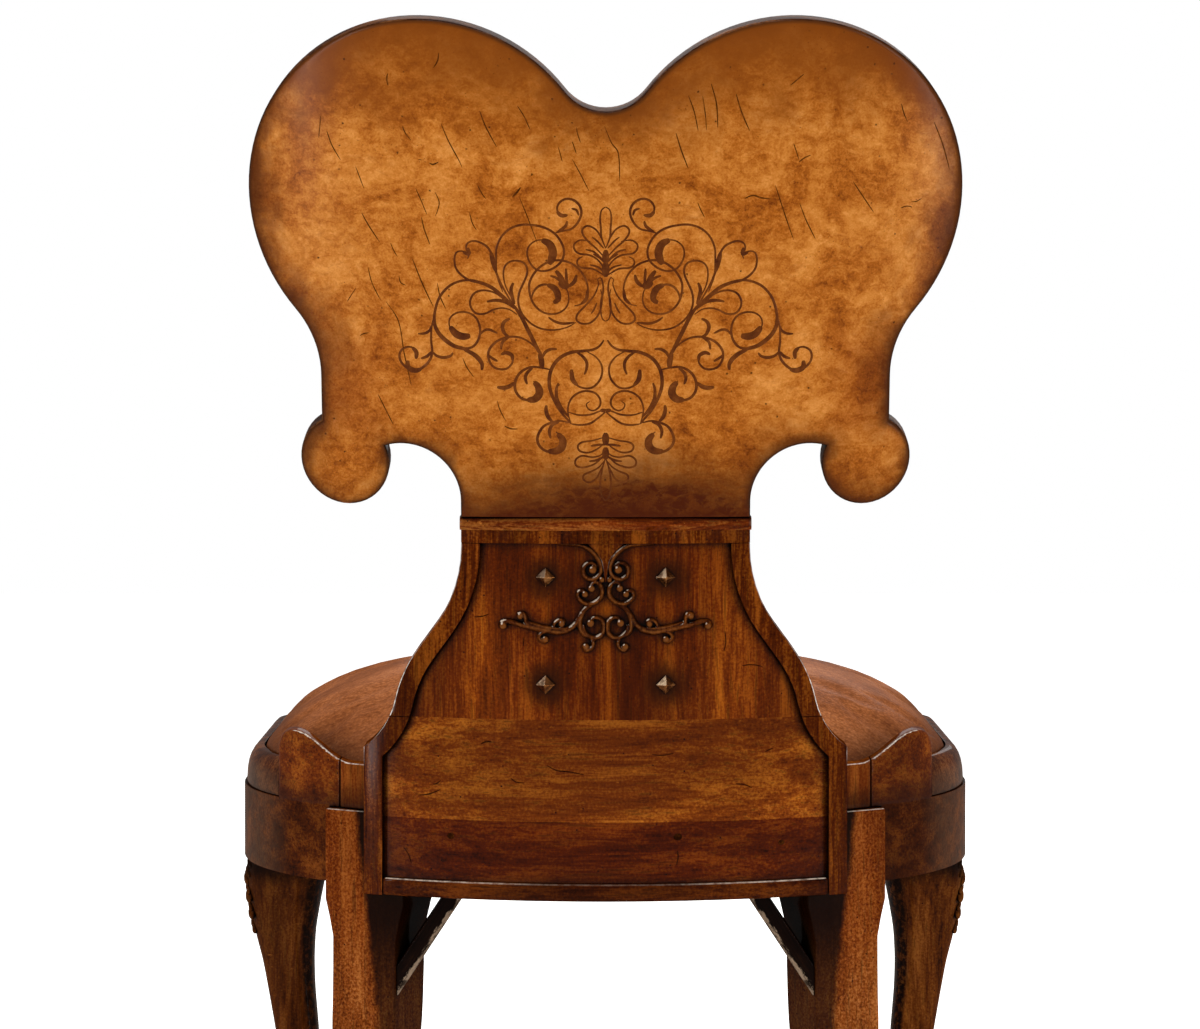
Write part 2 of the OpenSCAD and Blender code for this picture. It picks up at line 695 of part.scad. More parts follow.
module board_shell(r_out, r_in) {
    board_h = board_drop + lobe_v + lobe_r + 10;
    intersection() {
        board_frame() intersection() {
            difference() {
                translate([0, board_r, -board_drop]) cylinder(r = r_out, h = board_h, $fn = 300);
                translate([0, board_r, -board_drop - 1]) cylinder(r = r_in, h = board_h + 2, $fn = 300);
            }
            translate([0, board_r/2, 0]) rotate([90, 0, 0]) linear_extrude(board_r) board_outline();
        }
        translate([-big, -big, splat_top]) cube([2*big, 2*big, big]);
    }
}
module back_board_core() {
    color(burl) place() difference() {
        board_shell(board_r - veneer_t, board_r - board_t + veneer_t);
        dowel_places() translate([0, 0, -20]) cylinder(d = dowel_d + fit, h = 60, $fn = 32);
    }
}
module rear_veneer() {
    color(burl) place() board_shell(board_r, board_r - veneer_t);
}
module front_veneer() {
    color(burl) place() board_shell(board_r - board_t + veneer_t, board_r - board_t);
}
// Dowels that carry the back board on the splat
dowel_d = 10;
dowel_l = 32;
dowel_step = 46;
module dowel_places() {
    for (i = [-1.5:1:1.5]) let (x = i*dowel_step)
        translate([x, -splat_t/2 + 0.7*(splat_in_r - sqrt(splat_in_r*splat_in_r - x*x)), splat_top])
            rotate([lean/2, 0, 0]) children();
}
module back_dowels() {
    color(beech) place() dowel_places() translate([0, 0, -dowel_l/2])
        cylinder(d = dowel_d, h = dowel_l, $fn = 32);
}

// Rear leg: sawn to a side profile and a rear profile, in its own frame
head_step = 8;
lap_drop = 2;
lap_z = rail_z - 12;
module rear_leg(s) {
    sweep_at = [for (i = [0:12]) let (q = i/12) [-rleg_sweep*q*q, sweep_z*(1 - q)]];
    front_at = [for (i = [12:-1:0]) let (q = i/12)
        [-rleg_sweep*q*q + rleg_t + (rleg_foot_t - rleg_t)*q, sweep_z*(1 - q)]];
    color(walnut) place() handed(s) rleg_frame() intersection() {
        rotate([90, 0, 90]) translate([0, 0, -big/2]) linear_extrude(big) polygon(concat(
            [[head_step, rail_top], [head_step, rail_top - lap_drop], [1.5, rail_top - lap_drop],
             [0, rail_top - lap_drop - 1.5]],
            [for (p = sweep_at) [p[0], max(p[1], glide_t)]],
            [for (p = front_at) [p[0], max(p[1], glide_t)]],
            [[rleg_t, rail_top]]));
        rotate([90, 0, 0]) translate([0, 0, -big/2]) linear_extrude(big) polygon([
            [-rleg_face_w/2, rail_top], [rleg_face_w/2, rail_top], [rleg_face_w/2, lap_z],
            [rleg_w/2 + 3, lap_z - 14], [rleg_w/2, lap_z - 28], [rleg_w/2, sweep_z - 40],
            [rleg_foot_w/2 + 2, 80], [rleg_foot_w/2, 0], [-rleg_foot_w/2, 0],
            [-rleg_foot_w/2 - 2, 80], [-rleg_w/2, sweep_z - 40], [-rleg_w/2, lap_z - 28],
            [-rleg_w/2 - 3, lap_z - 14], [-rleg_face_w/2, lap_z]]);
    }
}

// Front leg: a cabriole loft through stations [height, out, forward, half width],
// places taken from the seat's corner
leg_stations = [
    [rail_z, 18, 18, 31], [rail_z - 17, 28, 25, 34], [rail_z - 37, 42, 37, 35.5],
    [rail_z - 54, 47, 42, 34], [rail_z - 73, 48, 42, 31], [rail_z - 102, 48, 41, 26],
    [rail_z - 127, 45, 38, 22], [rail_z - 152, 42, 35, 20], [rail_z - 185, 37, 30, 18.5],
    [140, 33, 27, 17], [100, 31, 25, 15], [66, 32, 26, 14.5], [42, 36, 30, 16],
    [27, 41, 35, 20], [14, 45, 39, 24.5], [6, 46, 40, 25.5], [glide_t, 46, 40, 24]];
leg_n = 24;
function leg_ring(q) = [for (i = [0:leg_n - 1]) let (
    a = 360*i/leg_n, m = pow(pow(abs(cos(a)), 3.4) + pow(abs(sin(a)), 3.4), -1/3.4))
    [corner_c[0] + q[1] + q[3]*m*cos(a), corner_c[1] + q[2] + q[3]*m*sin(a), q[0]]];
module leg_loft() {
    k = len(leg_stations);
    points = [for (q = leg_stations) each leg_ring(q)];
    sides = [for (j = [0:k - 2]) for (i = [0:leg_n - 1]) let (e = (i + 1)%leg_n) each
        [[j*leg_n + i, j*leg_n + e, (j + 1)*leg_n + e],
         [j*leg_n + i, (j + 1)*leg_n + e, (j + 1)*leg_n + i]]];
    top = [[for (i = [leg_n - 1:-1:0]) i]];
    foot = [[for (i = [0:leg_n - 1]) (k - 1)*leg_n + i]];
    polyhedron(points, concat(sides, top, foot));
}
module front_leg(s) {
    color(walnut) place() handed(s) union() {
        leg_loft();
        fleg_frame() translate([post_out - post_w, -post_w/2, rail_z - 6]) cube([post_w, post_w, rail_h + 4]);
    }
}

// Braces: from the inner face of each rear leg up to the bottom of the seat rail
brace_out_x = rleg_in_x + 5;
brace_y = 42;
brace_high_z = rail_z - 2;
brace_a = atan2(brace_high_z - brace_low_z, brace_out_x - brace_in_x);
module brace(s) {
    color(walnut_dark) place() handed(s) difference() {
        translate([brace_out_x, brace_y, brace_low_z]) rotate([0, 180 + brace_a, 0])
            translate([-40, -brace_w/2, -brace_t/2]) cube([200, brace_w, brace_t]);
        rleg_frame() translate([-rleg_w/2 - seat_gap, -big/2, 0]) cube([big, big, big]);
        translate([-big, -big, rail_z - eps]) cube([2*big, 2*big, big]);
    }
}
module glide_places() {
    for (s = [-1, 1]) handed(s) {
        rleg_frame() translate([0, -rleg_sweep + rleg_foot_t/2, 0]) children();
        translate([corner_c[0] + leg_stations[len(leg_stations) - 1][1],
                   corner_c[1] + leg_stations[len(leg_stations) - 1][2], 0]) children();
    }
}
module foot_glides() {
    color(steel) place() glide_places() cylinder(d = glide_d, h = glide_t, $fn = 48);
}

rear_rail();
side_rail(-1);  // side_rail_left
side_rail(1);  // side_rail_right
front_rail();
rear_moulding();
front_moulding();
side_moulding(-1);  // side_moulding_left
side_moulding(1);  // side_moulding_right
shoulder_block(-1);  // shoulder_block_left
shoulder_block(1);  // shoulder_block_right
shoulder_filler(-1);  // shoulder_filler_left
shoulder_filler(1);  // shoulder_filler_right
rear_corner_block(-1);  // rear_corner_block_left
rear_corner_block(1);  // rear_corner_block_right
front_corner_block(-1);  // front_corner_block_left
front_corner_block(1);  // front_corner_block_right
loose_frame_rear();
loose_frame_front();
loose_frame_side(-1);  // loose_frame_left
loose_frame_side(1);  // loose_frame_right
webbing();
hessian();
seat_pad();
seat_screws();
splat_stile(-1, field_joint_z, cap_z);  // splat_stile_upper_left
splat_stile(1, field_joint_z, cap_z);  // splat_stile_upper_right
splat_stile(-1, rail_z, field_joint_z);  // splat_stile_lower_left
splat_stile(1, rail_z, field_joint_z);  // splat_stile_lower_right
splat_top_rail();
splat_bottom_rail();
splat_panel_upper();
splat_panel_middle();
splat_panel_lower();
back_bolts();
carved_scroll(-1);  // carved_scroll_left
carved_scroll(1);  // carved_scroll_right
back_board_core();
rear_veneer();
front_veneer();
back_dowels();
rear_leg(-1);  // rear_leg_left
rear_leg(1);  // rear_leg_right
front_leg(-1);  // front_leg_left
front_leg(1);  // front_leg_right
brace(-1);  // brace_left
brace(1);  // brace_right
foot_glides();
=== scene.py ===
# Looks of the marquetry side chair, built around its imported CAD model.
# One section for each piece, in the order in which the chair goes together.

import bpy
import bmesh
import math
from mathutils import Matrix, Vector


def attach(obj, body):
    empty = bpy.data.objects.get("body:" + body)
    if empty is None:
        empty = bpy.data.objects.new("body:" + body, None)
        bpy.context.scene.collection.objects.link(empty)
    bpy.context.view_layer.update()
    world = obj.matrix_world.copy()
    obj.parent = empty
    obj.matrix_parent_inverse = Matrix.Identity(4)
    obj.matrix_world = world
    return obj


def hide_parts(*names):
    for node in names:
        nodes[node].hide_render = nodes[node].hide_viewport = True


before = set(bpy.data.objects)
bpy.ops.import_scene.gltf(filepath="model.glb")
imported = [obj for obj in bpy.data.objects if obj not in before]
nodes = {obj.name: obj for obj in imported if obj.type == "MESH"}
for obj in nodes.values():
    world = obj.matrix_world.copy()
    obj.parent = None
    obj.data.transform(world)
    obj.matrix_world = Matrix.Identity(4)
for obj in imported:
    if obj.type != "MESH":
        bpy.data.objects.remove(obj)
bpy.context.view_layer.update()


# Camera: the photograph was taken level, 2.4 m behind the chair, a little over the splat,
# and looks along +Y. The shift brings the seat and the legs into the frame.
bpy.ops.object.camera_add(location=(-0.0041, -2.5878, 0.7817), rotation=(math.pi/2, 0, 0))
camera = bpy.context.object
camera.name = "camera"
camera.data.lens = 97.2
camera.data.sensor_width = 36
camera.data.shift_y = -0.1537
bpy.context.scene.camera = camera
bpy.context.scene.view_settings.view_transform = "Standard"

# Light: a wide soft box on either side of the camera, one overhead, and weak fill.
def soft_box(name, place, aim, size, power):
    """A rectangular lamp turned towards a point; size in metres, power in watts."""
    bpy.ops.object.light_add(type="AREA", location=place)
    lamp = bpy.context.object
    lamp.name = name
    lamp.data.shape = "RECTANGLE"
    lamp.data.size = size[0]
    lamp.data.size_y = size[1]
    lamp.data.energy = power
    lamp.rotation_euler = (Vector(aim) - Vector(place)).to_track_quat("-Z", "Y").to_euler()


chair_middle = (0, 0, 0.6)
soft_box("box_left", (-2.2, -1.9, 1.05), (0, 0, 0.75), (0.10, 2.0), 46)
soft_box("box_right", (2.3, -1.6, 1.05), (0, 0, 0.75), (0.10, 2.0), 38)
soft_box("box_top", (0, -0.5, 2.9), chair_middle, (1.4, 0.4), 36)
soft_box("box_front", (0.3, 2.6, 1.6), chair_middle, (1.6, 1.6), 36)

# World: white to the camera and in reflections, a weaker light on the chair.
world = bpy.data.worlds.new("studio")
bpy.context.scene.world = world
world.use_nodes = True
sky = world.node_tree
sky.nodes.clear()
seen = sky.nodes.new("ShaderNodeBackground")
seen.inputs["Color"].default_value = (1, 1, 1, 1)
seen.inputs["Strength"].default_value = 1
fill = sky.nodes.new("ShaderNodeBackground")
fill.inputs["Color"].default_value = (1, 0.98, 0.95, 1)
fill.inputs["Strength"].default_value = 0.42
path = sky.nodes.new("ShaderNodeLightPath")
seen_by = sky.nodes.new("ShaderNodeMath")
seen_by.operation = "MAXIMUM"
seen_by_all = sky.nodes.new("ShaderNodeMath")
seen_by_all.operation = "MAXIMUM"
sky.links.new(path.outputs["Is Camera Ray"], seen_by.inputs[0])
sky.links.new(path.outputs["Is Glossy Ray"], seen_by.inputs[1])
sky.links.new(seen_by.outputs[0], seen_by_all.inputs[0])
sky.links.new(path.outputs["Is Transmission Ray"], seen_by_all.inputs[1])
either = sky.nodes.new("ShaderNodeMixShader")
sky.links.new(seen_by_all.outputs[0], either.inputs[0])
sky.links.new(fill.outputs[0], either.inputs[1])
sky.links.new(seen.outputs[0], either.inputs[2])
world_out = sky.nodes.new("ShaderNodeOutputWorld")
sky.links.new(either.outputs[0], world_out.inputs["Surface"])

# Floor: a plain pale sheet under the feet, below the photograph's frame.
bpy.ops.mesh.primitive_plane_add(size=14, location=(0, 0, 0))
floor = bpy.context.object
floor.name = "floor"
floor_paint = bpy.data.materials.new("floor_paint")
floor_paint.use_nodes = True
floor_shader = floor_paint.node_tree.nodes["Principled BSDF"]
floor_shader.inputs["Base Color"].default_value = (0.86, 0.86, 0.85, 1)
floor_shader.inputs["Roughness"].default_value = 0.9
floor_shader.inputs["Emission Color"].default_value = (1, 1, 1, 1)
floor_path = floor_paint.node_tree.nodes.new("ShaderNodeLightPath")
floor_seen = floor_paint.node_tree.nodes.new("ShaderNodeMath")
floor_seen.operation = "MAXIMUM"
floor_glow = floor_paint.node_tree.nodes.new("ShaderNodeMath")
floor_glow.operation = "MULTIPLY"
floor_glow.inputs[1].default_value = 0.7
floor_paint.node_tree.links.new(floor_path.outputs["Is Camera Ray"], floor_seen.inputs[0])
floor_paint.node_tree.links.new(floor_path.outputs["Is Glossy Ray"], floor_seen.inputs[1])
floor_paint.node_tree.links.new(floor_seen.outputs[0], floor_glow.inputs[0])
floor_paint.node_tree.links.new(floor_glow.outputs[0], floor_shader.inputs["Emission Strength"])
floor.data.materials.append(floor_paint)


# Rear legs: light straight walnut, specked with dark worm marks, rubbed paler on the arris with a
# painted highlight there, and with painted shade on the side that faces the splat.
# Their wood is the first of several, so the grain that all the walnut shares is made here.
class Paint:
    """A material with short calls for the nodes that the woods, leather and iron share."""

    def __init__(self, name):
        self.material = bpy.data.materials.new(name)
        self.material.use_nodes = True
        self.tree = self.material.node_tree
        self.shader = self.tree.nodes["Principled BSDF"]
        mapping = self.tree.nodes.new("ShaderNodeTexCoord")
        self.place = mapping.outputs["Object"]
        self.normal = mapping.outputs["Normal"]

    def join(self, value, socket):
        """Links a node's output to the socket, or sets the socket to a plain value."""
        if isinstance(value, bpy.types.NodeSocket):
            self.tree.links.new(value, socket)
        else:
            socket.default_value = value

    def stretched(self, scale, turn=(0, 0, 0), source=None):
        """The place (or a source) turned and scaled, so that what is drawn on it runs one way."""
        node = self.tree.nodes.new("ShaderNodeMapping")
        self.join(self.place if source is None else source, node.inputs["Vector"])
        node.inputs["Rotation"].default_value = turn
        node.inputs["Scale"].default_value = scale
        return node.outputs[0]

    def noise(self, vector, scale, detail=6, rough=0.6, distortion=0, colour=False):
        node = self.tree.nodes.new("ShaderNodeTexNoise")
        self.join(vector, node.inputs["Vector"])
        node.inputs["Scale"].default_value = scale
        node.inputs["Detail"].default_value = detail
        node.inputs["Roughness"].default_value = rough
        node.inputs["Distortion"].default_value = distortion
        return node.outputs["Color" if colour else "Fac"]

    def cells(self, vector, scale):
        """How far each place is from the nearest of many scattered points."""
        node = self.tree.nodes.new("ShaderNodeTexVoronoi")
        self.join(vector, node.inputs["Vector"])
        node.inputs["Scale"].default_value = scale
        return node.outputs["Distance"]

    def ramp(self, value, stops):
        """Colours along a value, given as (position, colour)."""
        node = self.tree.nodes.new("ShaderNodeValToRGB")
        self.join(value, node.inputs["Fac"])
        band = node.color_ramp.elements
        while len(band) < len(stops):
            band.new(0.5)
        for element, (position, colour) in zip(band, stops):
            element.position = position
            element.color = (*colour, 1)
        return node.outputs["Color"]

    def step(self, value, low, high, to_low=0, to_high=1):
        """A smooth change from to_low to to_high while the value runs from low to high."""
        node = self.tree.nodes.new("ShaderNodeMapRange")
        node.interpolation_type = "SMOOTHSTEP"
        self.join(value, node.inputs["Value"])
        node.inputs["From Min"].default_value = low
        node.inputs["From Max"].default_value = high
        node.inputs["To Min"].default_value = to_low
        self.join(to_high, node.inputs["To Max"])
        return node.outputs["Result"]

    def math(self, operation, a, b, c=0):
        node = self.tree.nodes.new("ShaderNodeMath")
        node.operation = operation
        self.join(a, node.inputs[0])
        self.join(b, node.inputs[1])
        self.join(c, node.inputs[2])
        return node.outputs[0]

    def blend(self, *parts):
        """The sum of several values, each given with its share."""
        total = 0
        for share, value in parts:
            total = self.math("MULTIPLY_ADD", value, share, total)
        return total

    def split(self, vector):
        """The three parts of a vector: x, y and z."""
        node = self.tree.nodes.new("ShaderNodeSeparateXYZ")
        self.join(vector, node.inputs[0])
        return node.outputs["X"], node.outputs["Y"], node.outputs["Z"]

    def coordinates(self):
        """How far across from the middle, how far back or forwards, and how high."""
        x, y, z = self.split(self.place)
        return self.math("ABSOLUTE", x, 0), y, z

    def faces_back(self):
        """1 where the surface faces back, 0 where it faces a side or the front."""
        return self.step(self.split(self.normal)[1], -0.05, -0.40)

    def facing(self, direction):
        """How squarely the surface faces a direction: 1 straight on, 0 edge on."""
        node = self.tree.nodes.new("ShaderNodeVectorMath")
        node.operation = "DOT_PRODUCT"
        self.join(self.normal, node.inputs[0])
        node.inputs[1].default_value = direction
        return node.outputs["Value"]

    def wear_and_painted_light(self, colour, outwards, back, up, low, high, pale, strength=1, broken=0.25):
        """Where the surface faces one way (away from the middle, back, up), mixes in another colour:
        paler rubbed wood with a painted highlight where it is pale, painted shade where it is dark.
        """
        faces_right, faces_front, faces_up = self.split(self.normal)
        faces_out = self.math("MULTIPLY", faces_right, self.math("SIGN", self.split(self.place)[0], 0))
        faced = self.blend((outwards, faces_out), (-back, faces_front), (up, faces_up))
        chipped = self.step(self.noise(self.place, 190, 4, 0.7), 0.36, 0.60, broken, 1)
        mask = self.math("MULTIPLY", self.step(faced, low, high, 0, strength), chipped)
        return self.mix(mask, colour, (*pale, 1))

    def mix(self, factor, a, b, blend="MIX"):
        node = self.tree.nodes.new("ShaderNodeMix")
        node.data_type = "RGBA"
        node.blend_type = blend
        self.join(factor, node.inputs["Factor"])
        self.join(a, node.inputs["A"])
        self.join(b, node.inputs["B"])
        return node.outputs["Result"]

    def warped(self, source, scale, amount):
        """The place, pushed about by a noise, so that grain and figure wander."""
        push = self.tree.nodes.new("ShaderNodeVectorMath")
        push.operation = "MULTIPLY_ADD"
        self.join(self.noise(source, scale, 3, colour=True), push.inputs[0])
        push.inputs[1].default_value = (amount, amount, amount)
        self.join(source, push.inputs[2])
        return push.outputs[0]

    def crevice(self, reach):
        """1 in the open and 0 deep in a corner."""
        node = self.tree.nodes.new("ShaderNodeAmbientOcclusion")
        node.samples = 4
        node.inputs["Distance"].default_value = reach
        return node.outputs["AO"]

    def bump(self, height, distance, strength=1, normal=None):
        node = self.tree.nodes.new("ShaderNodeBump")
        self.join(height, node.inputs["Height"])
        node.inputs["Distance"].default_value = distance
        node.inputs["Strength"].default_value = strength
        if normal is not None:
            self.join(normal, node.inputs["Normal"])
        return node.outputs["Normal"]

    def finish(self, colour, roughness, normal=None, specular=0, coat=0.08, polish=0.12):
        """Joins all to the shader. Wood and leather shine only by a thin coat of wax."""
        self.join(colour, self.shader.inputs["Base Color"])
        self.join(roughness, self.shader.inputs["Roughness"])
        self.shader.inputs["Specular IOR Level"].default_value = specular
        self.shader.inputs["Coat Weight"].default_value = coat
        self.shader.inputs["Coat Roughness"].default_value = polish
        if normal is not None:
            self.join(normal, self.shader.inputs["Normal"])
        return self.material


def walnut(name, deep, body, pale, grain="z", wear=0.5, gloss=0.3, corner_shade_strength=0.85,
           freckles=0.2, coat=0.08, reach=0.014, shade=None, specks_over=0.53, seam=0.0035):
    """Polished old walnut: figure, fibres and freckles, with painted shade in the corners and grooves."""
    paint = Paint(name)
    along = (8, 60, 60) if grain == "x" else (60, 60, 8)
    lines = (16, 420, 420) if grain == "x" else (420, 420, 16)
    wander = paint.warped(paint.place, 6, 0.012)
    figure = paint.noise(paint.stretched(along, source=wander), 1, 7, 0.62, 0.35)
    fibre = paint.noise(paint.stretched(lines, source=wander), 1, 4, 0.65)
    mottle = paint.noise(paint.place, 520, 3, 0.6)
    value = paint.blend((0.55 - freckles/2, figure), (0.45 - freckles/2, fibre), (freckles, mottle))
    colour = paint.ramp(value, [(0.385, deep), (0.49, body), (0.60, pale)])
    bands = paint.noise(paint.stretched(tuple(c*0.3 for c in along), source=wander), 1, 4, 0.55)
    colour = paint.mix(paint.step(bands, 0.38, 0.66, 0, 0.55), colour, (*deep, 1))
    pore_mask = paint.step(fibre, 0.54, 0.66, 0, 0.6)
    colour = paint.mix(pore_mask, colour, tuple(c*0.35 for c in deep) + (1,))
    specks = paint.step(paint.cells(paint.place, 150), 0.06, 0.14, 1, 0)
    chosen = paint.step(paint.noise(paint.place, 60, 2), specks_over, specks_over + 0.07)
    speck_mask = paint.math("MULTIPLY", specks, chosen)
    colour = paint.mix(speck_mask, colour, (0.006, 0.003, 0.002, 1))
    scuffs = paint.step(paint.noise(paint.stretched((60, 60, 150)), 1.4, 9, 0.75), 0.60, 0.70, 0, wear)
    colour = paint.mix(scuffs, colour, (*pale, 1))
    if shade is not None:
        colour = shade(paint, colour)
    # Painted shade: near black deep in corners and, narrower, along grooves, where the occlusion node
    # finds them.
    corner_shade = paint.step(paint.crevice(reach), 0.42, 0.99, corner_shade_strength, 0)
    colour = paint.mix(corner_shade, colour, (0.006, 0.003, 0.001, 1))
    groove_shade = paint.step(paint.crevice(seam), 0.45, 0.85, corner_shade_strength, 0)
    colour = paint.mix(groove_shade, colour, (0.002, 0.001, 0.001, 1))
    rough = paint.step(paint.noise(paint.place, 38, 5, 0.6), 0.3, 0.7, gloss - 0.06, gloss + 0.12)
    relief = paint.bump(paint.math("SUBTRACT", 1, pore_mask), 0.00025, 0.4)
    relief = paint.bump(paint.noise(paint.place, 70, 4, 0.6), 0.0006, 0.35, relief)
    return paint.finish(colour, rough, relief, 0, coat, gloss/2)


def smoothing_group(name, angle):
    """A modifier's node group: smooth shading, but sharp over the given angle."""
    group = bpy.data.node_groups.new(name, "GeometryNodeTree")
    group.interface.new_socket("Geometry", in_out="INPUT", socket_type="NodeSocketGeometry")
    group.interface.new_socket("Geometry", in_out="OUTPUT", socket_type="NodeSocketGeometry")
    way_in = group.nodes.new("NodeGroupInput")
    way_out = group.nodes.new("NodeGroupOutput")
    soft = group.nodes.new("GeometryNodeSetShadeSmooth")
    sharp = group.nodes.new("GeometryNodeSetShadeSmooth")
    sharp.domain = "EDGE"
    sharp.inputs["Shade Smooth"].default_value = False
    turn = group.nodes.new("GeometryNodeInputMeshEdgeAngle")
    steep = group.nodes.new("FunctionNodeCompare")
    steep.operation = "GREATER_THAN"
    steep.inputs["B"].default_value = math.radians(angle)
    group.links.new(turn.outputs["Unsigned Angle"], steep.inputs["A"])
    group.links.new(steep.outputs["Result"], sharp.inputs["Selection"])
    group.links.new(way_in.outputs[0], soft.inputs["Geometry"])
    group.links.new(soft.outputs[0], sharp.inputs["Geometry"])
    group.links.new(sharp.outputs[0], way_out.inputs[0])
    return group


smoothing = smoothing_group("smooth_to_30_degrees", 30)
joined_within = 0.00002
flat_within = math.radians(0.4)


def dress(node, material, bevel, segments=3):
    """A CAD node keeps its mesh; modifiers join its triangles and ease its edges."""
    piece = nodes[node]
    weld = piece.modifiers.new("joined", "WELD")
    weld.merge_threshold = joined_within
    flat = piece.modifiers.new("flats", "DECIMATE")
    flat.decimate_type = "DISSOLVE"
    flat.angle_limit = flat_within
    if bevel:
        eased = piece.modifiers.new("eased", "BEVEL")
        eased.width = bevel
        eased.segments = segments
        eased.limit_method = "ANGLE"
        eased.angle_limit = math.radians(35)
    smooth = piece.modifiers.new("smooth", "NODES")
    smooth.node_group = smoothing
    even = piece.modifiers.new("even", "WEIGHTED_NORMAL")
    even.keep_sharp = True
    piece.data.materials.clear()
    piece.data.materials.append(material)


def shaded_inner_side(paint, colour):
    """The side of a rear leg that faces the splat is painted almost black as shade, with a ragged border;
    the leg is darker and warmer above, and paler with a painted highlight where its arrises face back and
    up.
    """
    across, depth, height = paint.coordinates()
    # Painted shade on the side that faces the splat, stronger higher up.
    turned = paint.blend((0.877, across), (0.480, depth), (-0.13, height))
    turned = paint.math("SUBTRACT", turned, 0.0456)
    ragged = paint.math("SUBTRACT", paint.noise(paint.place, 90, 4, 0.7), 0.5)
    inner_shade = paint.step(paint.math("MULTIPLY_ADD", ragged, 0.008, turned), 0.0030, -0.0045, 0, 1)
    inner_shade = paint.math("MULTIPLY", inner_shade, paint.step(height, 0.27, 0.345, 0.78, 0.98))
    colour = paint.mix(paint.step(height, 0.27, 0.345, 0, 1), colour, (0.80, 0.66, 0.50, 1), "MULTIPLY")
    colour = paint.mix(inner_shade, colour, (0.004, 0.0010, 0.0003, 1))
    # Paler rubbed wood with a painted highlight where the arrises face back and up.
    return paint.wear_and_painted_light(colour, 0, 0.60, 0.80, 0.90, 0.98, (0.72, 0.62, 0.52), 0.9)


leg_walnut = walnut("leg_walnut", (0.048, 0.008, 0.001), (0.185, 0.042, 0.006),
                    (0.37, 0.125, 0.026), "z", wear=0.55, freckles=0.44, coat=0.03,
                    shade=shaded_inner_side, specks_over=0.47)
for side in ("left", "right"):
    dress("rear_leg_" + side, leg_walnut, 0.0015)


# Front legs: cabriole legs with a carved, notched ridge down the outer edge of each knee.
# Each is lofted through its stations, the corner post standing in the seat rails on top,
# and takes the place of the plain CAD leg.
leg_stations = [
    # height, out, forwards, half width, all in millimetres from the seat's corner
    (362, 18, 18, 31), (345, 28, 25, 34), (325, 42, 37, 35.5), (308, 47, 42, 34), (289, 48, 42, 31),
    (260, 48, 41, 26), (235, 45, 38, 22), (210, 42, 35, 20), (177, 37, 30, 18.5), (140, 33, 27, 17),
    (100, 31, 25, 15), (66, 32, 26, 14.5), (42, 36, 30, 16), (27, 41, 35, 20), (14, 45, 39, 24.5),
    (6, 46, 40, 25.5), (3, 46, 40, 24)]
MM = 0.001
plan_middle = 187.759
seat_corner = (230*MM, (383.899 - plan_middle)*MM)
section_points = 32
squareness = 3.4
glide_top = 0.003
leg_top = 0.362
post_foot, post_top = 0.356, 0.4185
post_half = 0.019
post_out = math.sqrt(0.0338**2 - post_half**2)
post_plan = ((post_out - 2*post_half, -post_half), (post_out, -post_half),
             (post_out, post_half), (post_out - 2*post_half, post_half))
carving_top, carving_pitch, carving_rows = 0.357, 0.0049, 20


def made_of(mesh, name):
    """An object of the finished mesh, its faces turned outwards."""
    bmesh.ops.recalc_face_normals(mesh, faces=mesh.faces)
    piece = bpy.data.objects.new(name, bpy.data.meshes.new(name))
    bpy.context.collection.objects.link(piece)
    mesh.to_mesh(piece.data)
    mesh.free()
    return piece


def strip_through(mesh, rows):
    """Joins rows of vertices, each once round, to a closed strip with filled ends."""
    for a, b in zip(rows, rows[1:]):
        for i in range(len(a)):
            k = (i + 1) % len(a)
            mesh.faces.new((a[i], a[k], b[k], b[i]))
    mesh.faces.new(rows[0])
    mesh.faces.new(rows[-1][::-1])


def lofted(name, rings):
    """A closed solid through rings of points, its ends filled."""
    mesh = bmesh.new()
    strip_through(mesh, [[mesh.verts.new(p) for p in ring] for ring in rings])
    return made_of(mesh, name)


def only(piece):
    """Leaves edit mode and makes the piece the one that is selected and active."""
    if bpy.context.object and bpy.context.object.mode != "OBJECT":
        bpy.ops.object.mode_set(mode="OBJECT")
    bpy.ops.object.select_all(action="DESELECT")
    piece.select_set(True)
    bpy.context.view_layer.objects.active = piece


def edit(piece, mode="VERT"):
    """Opens the piece in edit mode with everything selected."""
    only(piece)
    bpy.ops.object.mode_set(mode="EDIT")
    bpy.ops.mesh.select_mode(type=mode)
    bpy.ops.mesh.select_all(action="SELECT")


def along_stations(z):
    """Out, forwards and half width of the leg at a height, in a straight line between stations."""
    for upper, lower in zip(leg_stations, leg_stations[1:]):
        if upper[0] >= z >= lower[0]:
            s = (upper[0] - z)/(upper[0] - lower[0])
            return tuple(upper[i] + (lower[i] - upper[i])*s for i in (1, 2, 3))
    return leg_stations[-1][1:]


